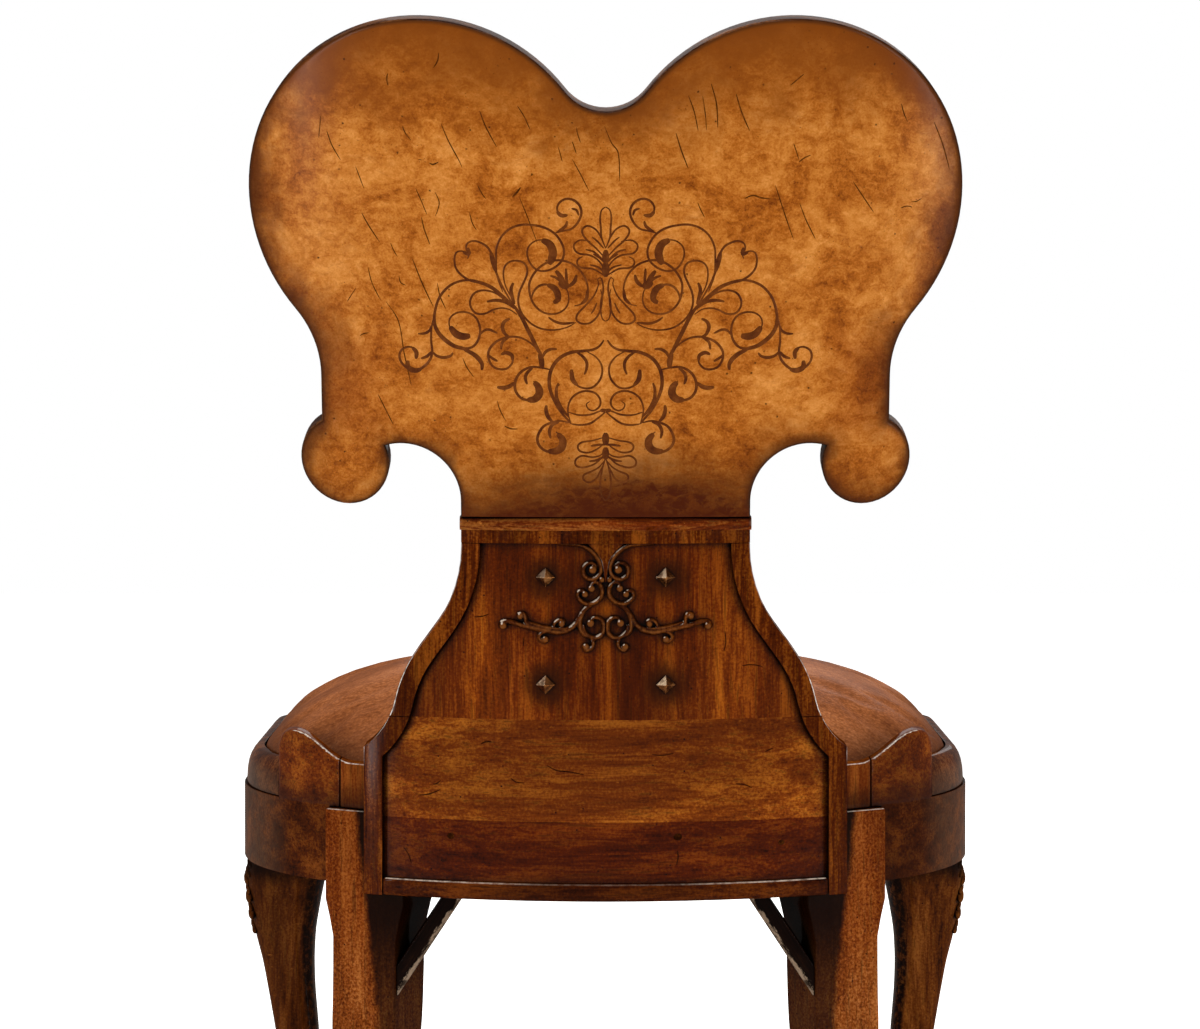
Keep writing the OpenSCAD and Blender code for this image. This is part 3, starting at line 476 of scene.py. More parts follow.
def shaded_inner_turn(paint, colour):
    """Painted shade, near black, where the leg turns in towards the other, a thin painted highlight at
    its very edge, and a painted shadow under the rail on the back.
    """
    # Painted shade on the inner side, laid on twice, and a thin painted highlight at its edge.
    colour = paint.wear_and_painted_light(colour, -1, 0, 0, 0.22, 0.55, (0.006, 0.002, 0.001), 1)
    colour = paint.wear_and_painted_light(colour, -1, 0, 0, 0.22, 0.55, (0.006, 0.002, 0.001), 0.8)
    colour = paint.wear_and_painted_light(colour, -1, 0.05, 0, 0.975, 0.999, (0.10, 0.066, 0.042), 0.35)
    # Painted shadow of the rail over the leg's top, on the faces that look back.
    across, depth, height = paint.coordinates()
    cloud = paint.math("SUBTRACT", paint.noise(paint.place, 30, 4, 0.6), 0.5)
    rail_shadow = paint.step(paint.math("MULTIPLY_ADD", cloud, 0.02, height), 0.297, 0.320, 0, 0.93)
    rail_shadow = paint.math("MULTIPLY", rail_shadow, paint.faces_back())
    return paint.mix(rail_shadow, colour, (0.003, 0.001, 0.0005, 1))


front_walnut = walnut("front_leg_walnut", (0.018, 0.004, 0.001), (0.090, 0.021, 0.003),
                      (0.24, 0.075, 0.012), "z", wear=0.55, gloss=0.26, coat=0.03, shade=shaded_inner_turn)


def old_paint(paint, colour):
    """Flakes of pale paint, fewer down the knee."""
    across, depth, height = paint.coordinates()
    flakes = paint.math("MULTIPLY_ADD", height, 1.6, paint.noise(paint.place, 210, 5, 0.8))
    return paint.mix(paint.step(flakes, 1.06, 1.12, 0, 0.85), colour, (0.62, 0.52, 0.42, 1))


carved_walnut = walnut("knee_carving", (0.016, 0.005, 0.002), (0.085, 0.026, 0.009),
                       (0.34, 0.17, 0.085), "z", wear=0.8, gloss=0.26, coat=0.16, shade=old_paint)
for side, name in ((-1, "left"), (1, "right")):
    rings = []
    for z, out, forwards, half in leg_stations:
        ring = []
        for i in range(section_points):
            a = math.radians(360*i/section_points)
            reach = (abs(math.cos(a))**squareness + abs(math.sin(a))**squareness)**(-1/squareness)
            ring.append((side*(seat_corner[0] + (out + half*reach*math.cos(a))*MM),
                         seat_corner[1] + (forwards + half*reach*math.sin(a))*MM, z*MM))
        rings.append(ring)
    leg = lofted("front_leg_visual_" + name, rings)
    edit(leg, "FACE")
    bpy.ops.mesh.subdivide(number_cuts=1, smoothness=0)
    only(leg)
    post = lofted("post", [[(side*(seat_corner[0] + (out - across)*math.sqrt(0.5)),
                             seat_corner[1] + (out + across)*math.sqrt(0.5), z)
                            for out, across in post_plan] for z in (post_foot, post_top)])
    only(leg)
    rounded = leg.modifiers.new("rounded", "SUBSURF")
    rounded.levels = rounded.render_levels = 1
    bpy.ops.object.modifier_apply(modifier=rounded.name)
    for vertex in leg.data.vertices:
        vertex.co.z = min(max(vertex.co.z, glide_top), leg_top)
    carved = bmesh.new()
    carved.from_mesh(leg.data)
    for i in range(carving_rows):
        z = carving_top - i*carving_pitch
        out, forwards, half = along_stations(z/MM)
        grow = math.sin(math.pi*(i + 2.5)/24)
        sway = 0.16*math.sin(1.9*i) + 0.10*math.sin(0.7*i + 1)
        for across, slant in ((-0.62 + sway, 0.75), (-0.16 + 0.6*sway, 0.45 + sway), (0.28 + sway, -0.7)):
            swell = 1 + 0.22*math.sin(2.3*i + 5*across)
            lobe = bmesh.ops.create_uvsphere(carved, u_segments=12, v_segments=8,
                                             radius=(0.0034 + 0.0016*grow)*swell)
            centre = Vector((side*(seat_corner[0] + (out + half*(0.965 - 0.05*abs(across)))*MM),
                             seat_corner[1] + (forwards + half*across*0.8)*MM, z))
            for vertex in lobe["verts"]:
                y, up = vertex.co.y*1.25, vertex.co.z*0.72
                vertex.co = Vector((vertex.co.x*0.70, y, up + slant*y)) + centre
            for face in {face for vertex in lobe["verts"] for face in vertex.link_faces}:
                face.material_index = 1
    carved.to_mesh(leg.data)
    carved.free()
    only(leg)
    post.select_set(True)
    bpy.ops.object.join()
    leg.data.name = leg.name
    bpy.ops.object.shade_smooth_by_angle(angle=math.radians(45))
    leg.data.materials.append(front_walnut)
    leg.data.materials.append(carved_walnut)
    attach(leg, "root")
    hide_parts("front_leg_" + name)


# Braces: two walnut struts, glued slantwise from the rear legs up and inwards to the rear
# rail, almost black with old polish and paler along the lower arris, rubbed and with a painted highlight.
brace = Paint("brace_walnut")
brace_across, brace_depth, brace_height = brace.coordinates()
brace_run = brace.blend((0.552, brace_across), (-0.834, brace_height))
brace_rise = brace.math("ADD", brace.blend((-0.834, brace_across), (-0.552, brace_height)), 0.2921)
brace_place = brace.tree.nodes.new("ShaderNodeCombineXYZ")
brace.join(brace_run, brace_place.inputs["X"])
brace.join(brace_depth, brace_place.inputs["Y"])
brace.join(brace_rise, brace_place.inputs["Z"])
brace_grain = brace.noise(brace.stretched((30, 300, 300), source=brace_place.outputs[0]), 1, 6, 0.7)
brace_colour = brace.ramp(brace_grain, [(0.35, (0.0015, 0.0006, 0.0003)),
                                        (0.55, (0.005, 0.0016, 0.0008)), (0.75, (0.022, 0.008, 0.003))])
brace_chips = brace.noise(brace.stretched((90, 260, 260), source=brace_place.outputs[0]), 1, 5, 0.75)
# Paler along the lower arris: rubbed wood and a painted highlight, broken into chips.
brace_edge = brace.math("MULTIPLY_ADD", brace.math("SUBTRACT", brace_chips, 0.5), 0.012, brace_rise)
brace_wear_and_sheen = brace.math("MULTIPLY", brace.step(brace_edge, 0.0030, 0.0046),
                        brace.step(brace_chips, 0.42, 0.56, 0.2, 1))
brace_colour = brace.mix(brace_wear_and_sheen, brace_colour, (0.22, 0.15, 0.10, 1))
brace_walnut = brace.finish(brace_colour, 0.45, brace.bump(brace_grain, 0.0003, 0.5), 0, 0.03)
for side in ("left", "right"):
    dress("brace_" + side, brace_walnut, 0.001)


# Foot glides and seat screws: small steel discs under the feet, dulled by the floor, and
# the steel screws that hold the loose seat frame, driven up through the corner blocks.
steel = Paint("dull_steel")
steel.shader.inputs["Metallic"].default_value = 1
steel_marks = steel.noise(steel.place, 400, 5, 0.7)
steel_colour = steel.ramp(steel_marks, [(0.3, (0.20, 0.19, 0.17)), (0.7, (0.42, 0.40, 0.37))])
steel_paint = steel.finish(steel_colour, steel.step(steel_marks, 0.3, 0.7, 0.35, 0.55), None, 0.5, 0)
dress("foot_glides", steel_paint, 0.0004)
dress("seat_screws", steel_paint, 0)


# Seat rails and thumb mouldings: dark polished walnut, the figure running round the seat.
# The rails are joined to the legs, and the mouldings are glued on the rails.
def ends_painted_sheen(paint, colour):
    """A faint painted sheen, slightly paler, where the rounded ends face out and a little back."""
    return paint.wear_and_painted_light(colour, 0.953, 0.304, 0, 0.90, 0.999, (0.10, 0.060, 0.035), 0.35, 0.7)


rail_walnut = walnut("rail_walnut", (0.010, 0.002, 0.0005), (0.050, 0.009, 0.001),
                     (0.15, 0.038, 0.005), "x", wear=0.25, gloss=0.22, coat=0.04, shade=ends_painted_sheen)
mould_walnut = walnut("moulding_walnut", (0.012, 0.003, 0.0005), (0.060, 0.012, 0.001),
                      (0.19, 0.060, 0.014), "x", wear=0.45, gloss=0.16, coat=0.09, shade=ends_painted_sheen)
dress("rear_rail", rail_walnut, 0.0012)
dress("front_rail", rail_walnut, 0.0012)
dress("side_rail_left", rail_walnut, 0.0005, 2)
dress("side_rail_right", rail_walnut, 0.0005, 2)
for node in ("rear_moulding", "front_moulding", "side_moulding_left", "side_moulding_right"):
    dress(node, mould_walnut, 0.0018)


# Corner blocks, the loose seat frame and the back's dowels: plain beech, sawn and never
# polished. The blocks are glued into the corners of the rails and carry the loose frame.
beech = Paint("beech")
beech_wander = beech.warped(beech.place, 6, 0.02)
beech_grain = beech.noise(beech.stretched((2, 16, 16), source=beech_wander), 8, 7, 0.6, 0.5)
beech_colour = beech.ramp(beech_grain, [(0.3, (0.42, 0.26, 0.13)), (0.55, (0.58, 0.39, 0.21)),
                                        (0.75, (0.68, 0.50, 0.30))])
beech_flecks = beech.step(beech.noise(beech.stretched((120, 900, 900)), 1, 2), 0.58, 0.66, 0, 0.5)
beech_colour = beech.mix(beech_flecks, beech_colour, (0.26, 0.14, 0.06, 1))
beech_paint = beech.finish(beech_colour, 0.7, beech.bump(beech_grain, 0.0003, 0.4), 0.2, 0)
for node in ("rear_corner_block_left", "rear_corner_block_right", "front_corner_block_left",
             "front_corner_block_right", "loose_frame_rear", "loose_frame_front", "loose_frame_left",
             "loose_frame_right", "back_dowels"):
    dress(node, beech_paint, 0.0008)


# Webbing and hessian under the pad: jute, woven coarse and plain, stretched over the loose
# frame and tacked to it.
def woven(name, pale, dark, thread, fuzz):
    """Plain weave of threads this wide, mottled from pale to dark, its crossings raised by fuzz."""
    cloth = Paint(name)
    x, y, z = cloth.split(cloth.warped(cloth.place, 60, 0.0008))
    across = cloth.math("SINE", cloth.math("MULTIPLY", x, 2*math.pi/thread), 0)
    along = cloth.math("SINE", cloth.math("MULTIPLY", y, 2*math.pi/thread), 0)
    weave = cloth.step(cloth.math("MULTIPLY", across, along), -0.8, 0.8)
    tint = cloth.mix(cloth.step(cloth.noise(cloth.place, 240, 5, 0.7), 0.35, 0.65), pale, dark)
    tint = cloth.mix(cloth.step(weave, 0.5, 0.1, 0, 0.55), tint, tuple(c*0.4 for c in dark[:3]) + (1,))
    return cloth.finish(tint, 0.92, cloth.bump(weave, fuzz, 0.7), 0.1, 0)


dress("webbing", woven("jute_webbing", (0.52, 0.40, 0.25, 1), (0.34, 0.24, 0.13, 1), 0.003, 0.0004), 0)
dress("hessian", woven("hessian_cloth", (0.46, 0.35, 0.20, 1), (0.30, 0.21, 0.11, 1), 0.0022, 0.0003), 0)


# Shoulders: polished blocks with a wave along the top, glossy on their rounded ends, and
# the narrow inner piece that fills the step to the splat. A copy of each CAD piece is rubbed
# round above the rail and takes the piece's place, its foot sunk a little into the rail.
shoulder_joint = 0.2015
rail_top = 0.4205
foot_height, foot_sunk = 0.0016, 0.0018


def foot_dark_and_wave_highlight(paint, colour):
    """Dark where the block stands on the rail, so that its joint hardly shows; paler with a painted
    highlight along the wave's arrises; a dark line at the joint.
    """
    across, depth, height = paint.coordinates()
    cloud = paint.math("SUBTRACT", paint.noise(paint.place, 40, 5, 0.7), 0.5)
    low = paint.step(paint.math("MULTIPLY_ADD", cloud, 0.03, height), 0.445, 0.420, 0, 0.72)
    colour = paint.mix(low, colour, (0.016, 0.003, 0.0008, 1))
    # Painted highlight, with paler rubbed wood, along the wave's arrises that face back and up.
    colour = paint.wear_and_painted_light(colour, 0.30, 0.62, 0.72, 0.92, 0.98, (0.66, 0.57, 0.48), 0.9)
    colour = paint.wear_and_painted_light(colour, -0.20, 0.64, 0.74, 0.92, 0.98, (0.66, 0.57, 0.48), 0.9)
    joint = paint.math("ABSOLUTE", paint.math("SUBTRACT", across, shoulder_joint), 0)
    return paint.mix(paint.step(joint, 0.0009, 0.0002, 0, 0.75), colour, (0.006, 0.002, 0.0005, 1))


shoulder_walnut = walnut("shoulder_walnut", (0.024, 0.004, 0.0005), (0.112, 0.019, 0.0015),
                         (0.28, 0.075, 0.007), "x", wear=0.30, gloss=0.16, coat=0.07, shade=foot_dark_and_wave_highlight)
inner_walnut = walnut("shoulder_inner_walnut", (0.028, 0.005, 0.0006), (0.118, 0.021, 0.0020),
                      (0.26, 0.070, 0.009), "z", wear=0.35, gloss=0.16, coat=0.05, shade=foot_dark_and_wave_highlight)


def copied(node, name, *paints):
    """A copy of a CAD node with its triangles joined, to be shaped and to take its place."""
    piece = bpy.data.objects.new(name, nodes[node].data.copy())
    bpy.context.collection.objects.link(piece)
    piece.data.name = name
    piece.data.materials.clear()
    for paint in paints:
        piece.data.materials.append(paint)
    edit(piece)
    bpy.ops.mesh.remove_doubles(threshold=joined_within)
    bpy.ops.mesh.select_all(action="SELECT")
    bpy.ops.mesh.dissolve_limited(angle_limit=flat_within)
    only(piece)
    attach(piece, "root")
    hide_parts(node)
    return piece


def round_over(piece, width, keep):
    """Bevels the sharp edges for which keep(a, b) of their two ends is true."""
    edit(piece, "EDGE")
    bpy.ops.mesh.select_all(action="DESELECT")
    bpy.ops.mesh.edges_select_sharp(sharpness=math.radians(32))
    shaping = bmesh.from_edit_mesh(piece.data)
    for line in shaping.edges:
        if line.select and not keep(*(end.co for end in line.verts)):
            line.select_set(False)
    bmesh.update_edit_mesh(piece.data)
    bpy.ops.mesh.bevel(offset=width, segments=5, profile=0.5, clamp_overlap=True)
    only(piece)
    bpy.ops.object.shade_smooth_by_angle(angle=math.radians(32))


def fuse(piece, grain):
    """Gives the piece one closed skin of even faces, this wide."""
    only(piece)
    skin = piece.modifiers.new("skin", "REMESH")
    skin.mode = "VOXEL"
    skin.voxel_size = grain
    bpy.ops.object.modifier_apply(modifier=skin.name)


def soften(piece, strokes):
    """Smooths the active piece by so many strokes."""
    soft = piece.modifiers.new("soft", "SMOOTH")
    soft.factor = 0.5
    soft.iterations = strokes
    bpy.ops.object.modifier_apply(modifier=soft.name)


def rub_down(piece, grain, strokes):
    """Rounds every arris above the rail, as sandpaper does, and sinks the foot into the rail."""
    fuse(piece, grain)
    sharp = [vertex.co.copy() for vertex in piece.data.vertices]
    soften(piece, strokes)
    for vertex, before in zip(piece.data.vertices, sharp):
        above_rail = max(0, min(1, (before.z - rail_top - 0.002)/0.006))
        off_joint = max(0, min(1, (abs(abs(before.x) - shoulder_joint) - 0.0012)/0.0015))
        vertex.co = before.lerp(vertex.co, above_rail*off_joint)
        if before.z < rail_top + foot_height:
            vertex.co.z -= foot_sunk
    bpy.ops.object.shade_smooth()


for name in ("left", "right"):
    rub_down(copied("shoulder_block_" + name, "shoulder_" + name, shoulder_walnut), 0.0011, 28)
    rub_down(copied("shoulder_filler_" + name, "shoulder_inner_" + name, inner_walnut), 0.0011, 10)


# Splat: three boards in a raised frame, upright figure over cross-grained over dark. The
# cap's moulding is worn and chipped, and the band under it is of the frame's upright wood.
bolt_across, bolt_middle, bolt_rise = 0.044, 0.5600, 0.0392
streak_across = 0.088
band_top = 0.6346


def golden_corners(paint, colour):
    """Dark red-brown under the carving, golden streaks in the middle and to both sides."""
    across, depth, height = paint.coordinates()
    away = paint.blend((1.0, across), (-0.55, height))
    wander = paint.warped(paint.place, 9, 0.02)
    streaky = paint.noise(paint.stretched((70, 70, 9), source=wander), 1, 7, 0.7)
    push = paint.math("SUBTRACT", streaky, 0.5)
    away = paint.math("MULTIPLY_ADD", push, 0.14, away)
    colour = paint.mix(paint.step(away, -0.262, -0.225, 0.85, 0), colour,
                       (0.78, 0.66, 0.45, 1), "MULTIPLY")
    # Darker in a ring round each bolt, on the faces that look back.
    from_bolt = paint.math("SUBTRACT", across, bolt_across)
    rise = paint.math("ABSOLUTE", paint.math("SUBTRACT", height, bolt_middle), 0)
    rise = paint.math("SUBTRACT", rise, bolt_rise)
    round_bolt = paint.math("MULTIPLY_ADD", from_bolt, from_bolt, paint.math("MULTIPLY", rise, rise))
    bolt_halo = paint.math("MULTIPLY_ADD", push, 0.02, paint.math("SQRT", round_bolt, 0))
    bolt_halo = paint.math("MULTIPLY", paint.step(bolt_halo, 0.023, 0.008, 0, 0.8), paint.faces_back())
    colour = paint.mix(bolt_halo, colour, (0.020, 0.004, 0.0005, 1))
    beside = paint.math("ABSOLUTE", paint.math("SUBTRACT", across, streak_across), 0)
    from_streak = paint.math("MINIMUM", beside, paint.math("ADD", across, 0.004))
    streak = paint.math("MULTIPLY_ADD", push, 0.05, from_streak)
    streak = paint.math("MULTIPLY", paint.step(streak, 0.016, 0.002), paint.step(height, 0.605, 0.565))
    return paint.mix(streak, colour, (1.45, 1.62, 1.4, 1), "MULTIPLY")


upper_walnut = walnut("splat_upright_walnut", (0.030, 0.0045, 0.0004), (0.102, 0.016, 0.0012),
                      (0.27, 0.064, 0.005), "z", wear=0.25, gloss=0.26, coat=0.06, reach=0.028,
                      shade=golden_corners, seam=0.0070)
middle_walnut = walnut("splat_cross_walnut", (0.045, 0.007, 0.0008), (0.165, 0.032, 0.0025),
                       (0.46, 0.14, 0.013), "x", wear=0.30, gloss=0.26, freckles=0.22, coat=0.06,
                       reach=0.028, seam=0.0070)


def upper_arris_painted_highlight(paint, colour):
    """A painted highlight with paler rubbed wood on the bottom rail's upper arris, the more the further
    it is from the middle.
    """
    across, depth, height = paint.coordinates()
    shine = paint.step(across, 0.03, 0.14, 0.10, 0.85)
    return paint.wear_and_painted_light(colour, 0, 0.50, 0.86, 0.90, 0.985, (0.62, 0.50, 0.40), shine)


def outer_arris_painted_highlight(paint, colour):
    """A painted highlight with paler rubbed wood on the stiles' outer arris, most between the shoulders
    and the bolts.
    """
    across, depth, height = paint.coordinates()
    line = paint.math("MULTIPLY", paint.step(height, 0.455, 0.480),
                      paint.step(height, 0.60, 0.54, 0.3, 0.95))
    return paint.wear_and_painted_light(colour, 0.80, 0.60, 0, 0.90, 0.975, (0.80, 0.72, 0.64), line)


foot_walnut = walnut("splat_rail_walnut", (0.007, 0.0011, 0.0002), (0.042, 0.0065, 0.0005),
                     (0.14, 0.030, 0.003), "x", wear=0.30, gloss=0.15, coat=0.04, reach=0.006,
                     shade=upper_arris_painted_highlight)
lower_walnut = walnut("splat_dark_walnut", (0.016, 0.002, 0.0004), (0.070, 0.0085, 0.0008),
                      (0.19, 0.038, 0.003), "x", wear=0.30, gloss=0.24, coat=0.06, reach=0.028,
                      seam=0.0070)


def cap_ends_painted_highlight(paint, colour):
    """A painted highlight with paler rubbed wood on the cap's two ends, where they turn back."""
    across, depth, height = paint.coordinates()
    shine = paint.step(across, 0.105, 0.112, 0, 0.8)
    return paint.wear_and_painted_light(colour, 0.55, 0.83, 0, 0.80, 0.97, (0.62, 0.53, 0.44), shine)


frame_walnut = walnut("splat_frame_walnut", (0.014, 0.0019, 0.0003), (0.070, 0.0112, 0.0009),
                      (0.27, 0.068, 0.006), "z", wear=0.40, gloss=0.2, coat=0.03, specks_over=0.48,
                      shade=outer_arris_painted_highlight)
cap_walnut = walnut("splat_cap_walnut", (0.012, 0.002, 0.0004), (0.185, 0.028, 0.002),
                    (0.62, 0.20, 0.030), "x", wear=0.95, gloss=0.2, coat=0.05, freckles=0.15,
                    shade=cap_ends_painted_highlight)
dress("splat_panel_upper", upper_walnut, 0)
dress("splat_panel_middle", middle_walnut, 0)
dress("splat_panel_lower", lower_walnut, 0)
for node in ("splat_stile_upper_left", "splat_stile_upper_right", "splat_stile_lower_left",
             "splat_stile_lower_right"):
    dress(node, frame_walnut, 0.0016)
dress("splat_bottom_rail", foot_walnut, 0.0028, 4)
cap = copied("splat_top_rail", "splat_cap", cap_walnut, frame_walnut)
for face in cap.data.polygons:
    face.material_index = 1 if face.center.z < band_top else 0


def moulding_edges(a, b):
    """Whether an edge from a to b is one of the ends of the cap's moulding."""
    return min(a.z, b.z) > band_top and max(abs(a.x), abs(b.x)) > 0.1


round_over(cap, 0.0012, moulding_edges)


# Bolts: four square bolts of dark bronze at the splat's upper joints, with pyramid heads
# that stand on a corner, a painted highlight on the facets that face up and to the left.
bronze = Paint("dark_bronze")
bronze.shader.inputs["Metallic"].default_value = 1
bronze_marks = bronze.noise(bronze.place, 130, 5, 0.6)
bronze_colour = bronze.ramp(bronze_marks, [(0.35, (0.036, 0.011, 0.003)), (0.52, (0.130, 0.045, 0.011)),
                                           (0.70, (0.25, 0.105, 0.032))])
# Nearly black deep in the crevices.
bronze_crevices = bronze.step(bronze.crevice(0.004), 0.40, 0.90, 0.95, 0)
bronze_colour = bronze.mix(bronze_crevices, bronze_colour, (0.006, 0.003, 0.001, 1))
# Painted highlight on the facets that face up and to the left.
bronze_facing = bronze.facing((-0.62, -0.45, 0.64))
bronze_painted_glint = bronze.math("MULTIPLY", bronze.step(bronze_facing, 0.66, 0.90),
                         bronze.step(bronze_marks, 0.40, 0.56, 0.35, 1))
bronze_colour = bronze.mix(bronze_painted_glint, bronze_colour, (0.60, 0.43, 0.28, 1))
bronze_rough = bronze.step(bronze_marks, 0.3, 0.7, 0.16, 0.30)
bronze_relief = bronze.bump(bronze_marks, 0.0004, 0.4)
bronze_paint = bronze.finish(bronze_colour, bronze_rough, bronze_relief, 0.5, 0.04)
dress("back_bolts", bronze_paint, 0.0006)


# Carving: scrolls in high relief, glued to the splat's field under the cap. They are drawn
# as strokes in millimetres on the right half, across from the middle and up from the floor,
# then fused and softened, and take the place of the CAD's plain scrolls.
splat_y = (425 - plan_middle)*MM
field_radius = 0.445
clear_of_field = 0.05
carved_strokes = [
    # Swag out of the cap's lower edge, ending in a curl
    (3.4, [(36, 625), (23.4, 624.6), (16.7, 623.4), (10, 619.4), (5.4, 614), (3.2, 608.4), (3.8, 603.4),
           (6.8, 600), (11.2, 598.8), (15.4, 601.3), (16.4, 606), (14, 609.8), (10, 610.6), (7, 608.2),
           (8.2, 605.3)]),
    # C scroll with its two curls
    (3.2, [(10.2, 592), (10.1, 595), (7.4, 596.8), (4.2, 595), (2.4, 591), (3.2, 586.3), (6.8, 582.4),
           (12.3, 580.7), (17.3, 582.4), (20.4, 586.3), (19.4, 589.8), (16.2, 590.2), (14.4, 587.8)]),
    # Long stem out to the side
    (3.8, [(8, 581.5), (14.5, 577.4), (18.4, 572), (21.7, 566.4), (26.7, 562), (34.4, 560), (43.2, 561.2),
           (52, 562.8), (60.8, 564.6), (67.4, 566.6), (73, 567.6), (76.8, 566.4), (77.2, 563.8),
           (74.6, 563.2)]),
    (2.2, [(24, 564), (31, 562.6), (40, 563), (50, 565), (58, 567.4)]),
    # Small curls up and down from the stem
    (2.6, [(38, 561.5), (37.6, 566), (33.8, 569), (30.4, 567.6), (32, 565)]),
    (2.6, [(52, 563), (58, 566), (59, 570.6), (60.4, 573.4), (64, 573.2), (64.6, 571)]),
    (2.8, [(41, 561), (47.1, 559), (48.7, 555.8), (45.6, 552.6), (42.4, 554)]),
    # Ring at the foot, its stem and the curl under it
    (3.2, [(11, 567), (9, 570.4), (4.8, 570.2), (1.9, 567.4), (1.2, 563), (2.6, 558.6), (6.8, 555.8),
           (12, 557), (15.6, 561), (16, 565.5)]),
    (3.0, [(15.4, 576), (18.2, 570), (18.8, 564), (16.6, 559), (12, 556)]),
    (2.8, [(11, 556), (9, 552), (10.6, 548.2), (14, 546.6), (16.6, 549.2), (14.8, 551)]),
]
carved_balls = [
    # across, up, radius: the eyes of the curls
    (9.4, 605.8, 2.2), (10.4, 592, 1.9), (15, 587.8, 1.8), (75.2, 564.2, 2.0), (32.2, 566, 1.8),
    (62.6, 571.4, 1.8), (44.2, 554.6, 1.9), (11, 566.6, 2.1), (14.4, 549.4, 1.9), (2.6, 598.6, 1.6)]


line_step = 1.2


def smooth_line(points):
    """Points along a Catmull-Rom curve through the given ones, about a step apart."""
    ends = [points[0]] + list(points) + [points[-1]]
    line = []
    for a, b, c, d in zip(ends, ends[1:], ends[2:], ends[3:]):
        count = max(2, round(math.dist(b, c)/line_step))
        for i in range(count):
            s = i/count
            line.append(tuple(0.5*(2*q + (r - p)*s + (2*p - 5*q + 4*r - t)*s*s + (3*q - p - 3*r + t)*s**3)
                              for p, q, r, t in zip(a, b, c, d)))
    return line + [tuple(points[-1])]


def ribbon(mesh, points, width, profile, side, to_chair, tip):
    """A closed strip of the given section along a line of the drawing, laid on by to_chair.

    It is as wide as the width in its middle, and that times tip at its ends."""
    line = smooth_line(points)
    last = len(line) - 1
    rows = []
    for i, (x, v) in enumerate(line):
        ahead, behind = line[min(i + 1, last)], line[max(i - 1, 0)]
        run = math.hypot(ahead[0] - behind[0], ahead[1] - behind[1]) or 1
        nx, nv = -(ahead[1] - behind[1])/run, (ahead[0] - behind[0])/run
        swell = tip + (1 - tip)*max(0, math.sin(math.pi*i/last))**0.6
        half = width*swell/2
        rows.append([mesh.verts.new(to_chair(side*(x + nx*across*half), v + nv*across*half, rise*swell))
                     for across, rise in profile])
    strip_through(mesh, rows)


def on_field(x, z, height):
    """A point of the carving: across, up from the floor and out from the field, in millimetres."""
    radius = field_radius + (height + clear_of_field)*MM
    return Vector((x*MM, splat_y - math.sqrt(radius**2 - (x*MM)**2), z*MM))


half_round = [(-1, 0), (-0.95, 1.3), (-0.75, 2.8), (-0.4, 4.0), (0, 4.6), (0.4, 4.0), (0.75, 2.8),
              (0.95, 1.3), (1, 0)]
fuller = 1.36
ball_out = 2.9
cap_foot = 0.6248


def tops_worn_and_painted_glint(paint, colour):
    """The carving's tops are rubbed pale, measured by how far they stand out from the field, and the
    sides that face up and to the left get a painted glint.
    """
    across, depth, height = paint.coordinates()
    back = paint.math("SUBTRACT", depth, splat_y)
    reach = paint.math("MULTIPLY_ADD", back, back, paint.math("MULTIPLY", across, across))
    out = paint.math("SUBTRACT", paint.math("SQRT", reach, 0), field_radius)
    broken = paint.math("SUBTRACT", paint.noise(paint.place, 260, 5, 0.75), 0.5)
    out = paint.math("MULTIPLY_ADD", broken, 0.0042, out)
    colour = paint.mix(paint.step(out, 0.0034, 0.0050, 0, 0.8), colour, (0.150, 0.046, 0.008, 1))
    # Painted glint on the sides that face up and to the left.
    glint = paint.math("MULTIPLY_ADD", broken, 0.25, paint.facing((-0.47, -0.60, 0.65)))
    return paint.mix(paint.step(glint, 0.93, 1.0, 0, 0.9), colour, (0.72, 0.58, 0.46, 1))


carving_walnut = walnut("carving_walnut", (0.007, 0.0012, 0.0003), (0.050, 0.009, 0.0008),
                        (0.16, 0.038, 0.004), "z", wear=0.3, gloss=0.16, corner_shade_strength=0.97, coat=0.06,
                        shade=tops_worn_and_painted_glint)
for side, name in ((-1, "left"), (1, "right")):
    mesh = bmesh.new()
    for width, points in carved_strokes:
        ribbon(mesh, points, width*fuller, half_round, side, on_field, 0.6)
    for x, z, radius in carved_balls:
        ball = bmesh.ops.create_uvsphere(mesh, u_segments=14, v_segments=10, radius=radius*fuller*MM)
        centre = on_field(side*x, z, ball_out)
        for vertex in ball["verts"]:
            vertex.co += centre
    carving = made_of(mesh, "carving_" + name)
    fuse(carving, 0.00042)
    soften(carving, 3)
    for vertex in carving.data.vertices:
        vertex.co.z = min(vertex.co.z, cap_foot)
    bpy.ops.object.shade_smooth()
    carving.data.materials.append(carving_walnut)
    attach(carving, "root")
    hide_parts("carved_scroll_" + name)


# Tongue: a point of the band's upright wood that runs down between the two swags, carved
# to the same height as they are.
tongue_line = [(13, 625), (11, 622.6), (6.6, 618.4), (3.2, 612.6), (1.7, 606), (0.4, 597)]
tongue_section = [(-1, 0), (-1, 3.6), (-0.8, 4.4), (0, 4.7), (0.8, 4.4), (1, 3.6), (1, 0)]
tongue = lofted("cap_tongue", [[on_field(x*share, z, height) for share, height in tongue_section]
                               for x, z in tongue_line])
only(tongue)
bpy.ops.object.shade_smooth_by_angle(angle=math.radians(40))
tongue.data.materials.append(frame_walnut)
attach(tongue, "root")


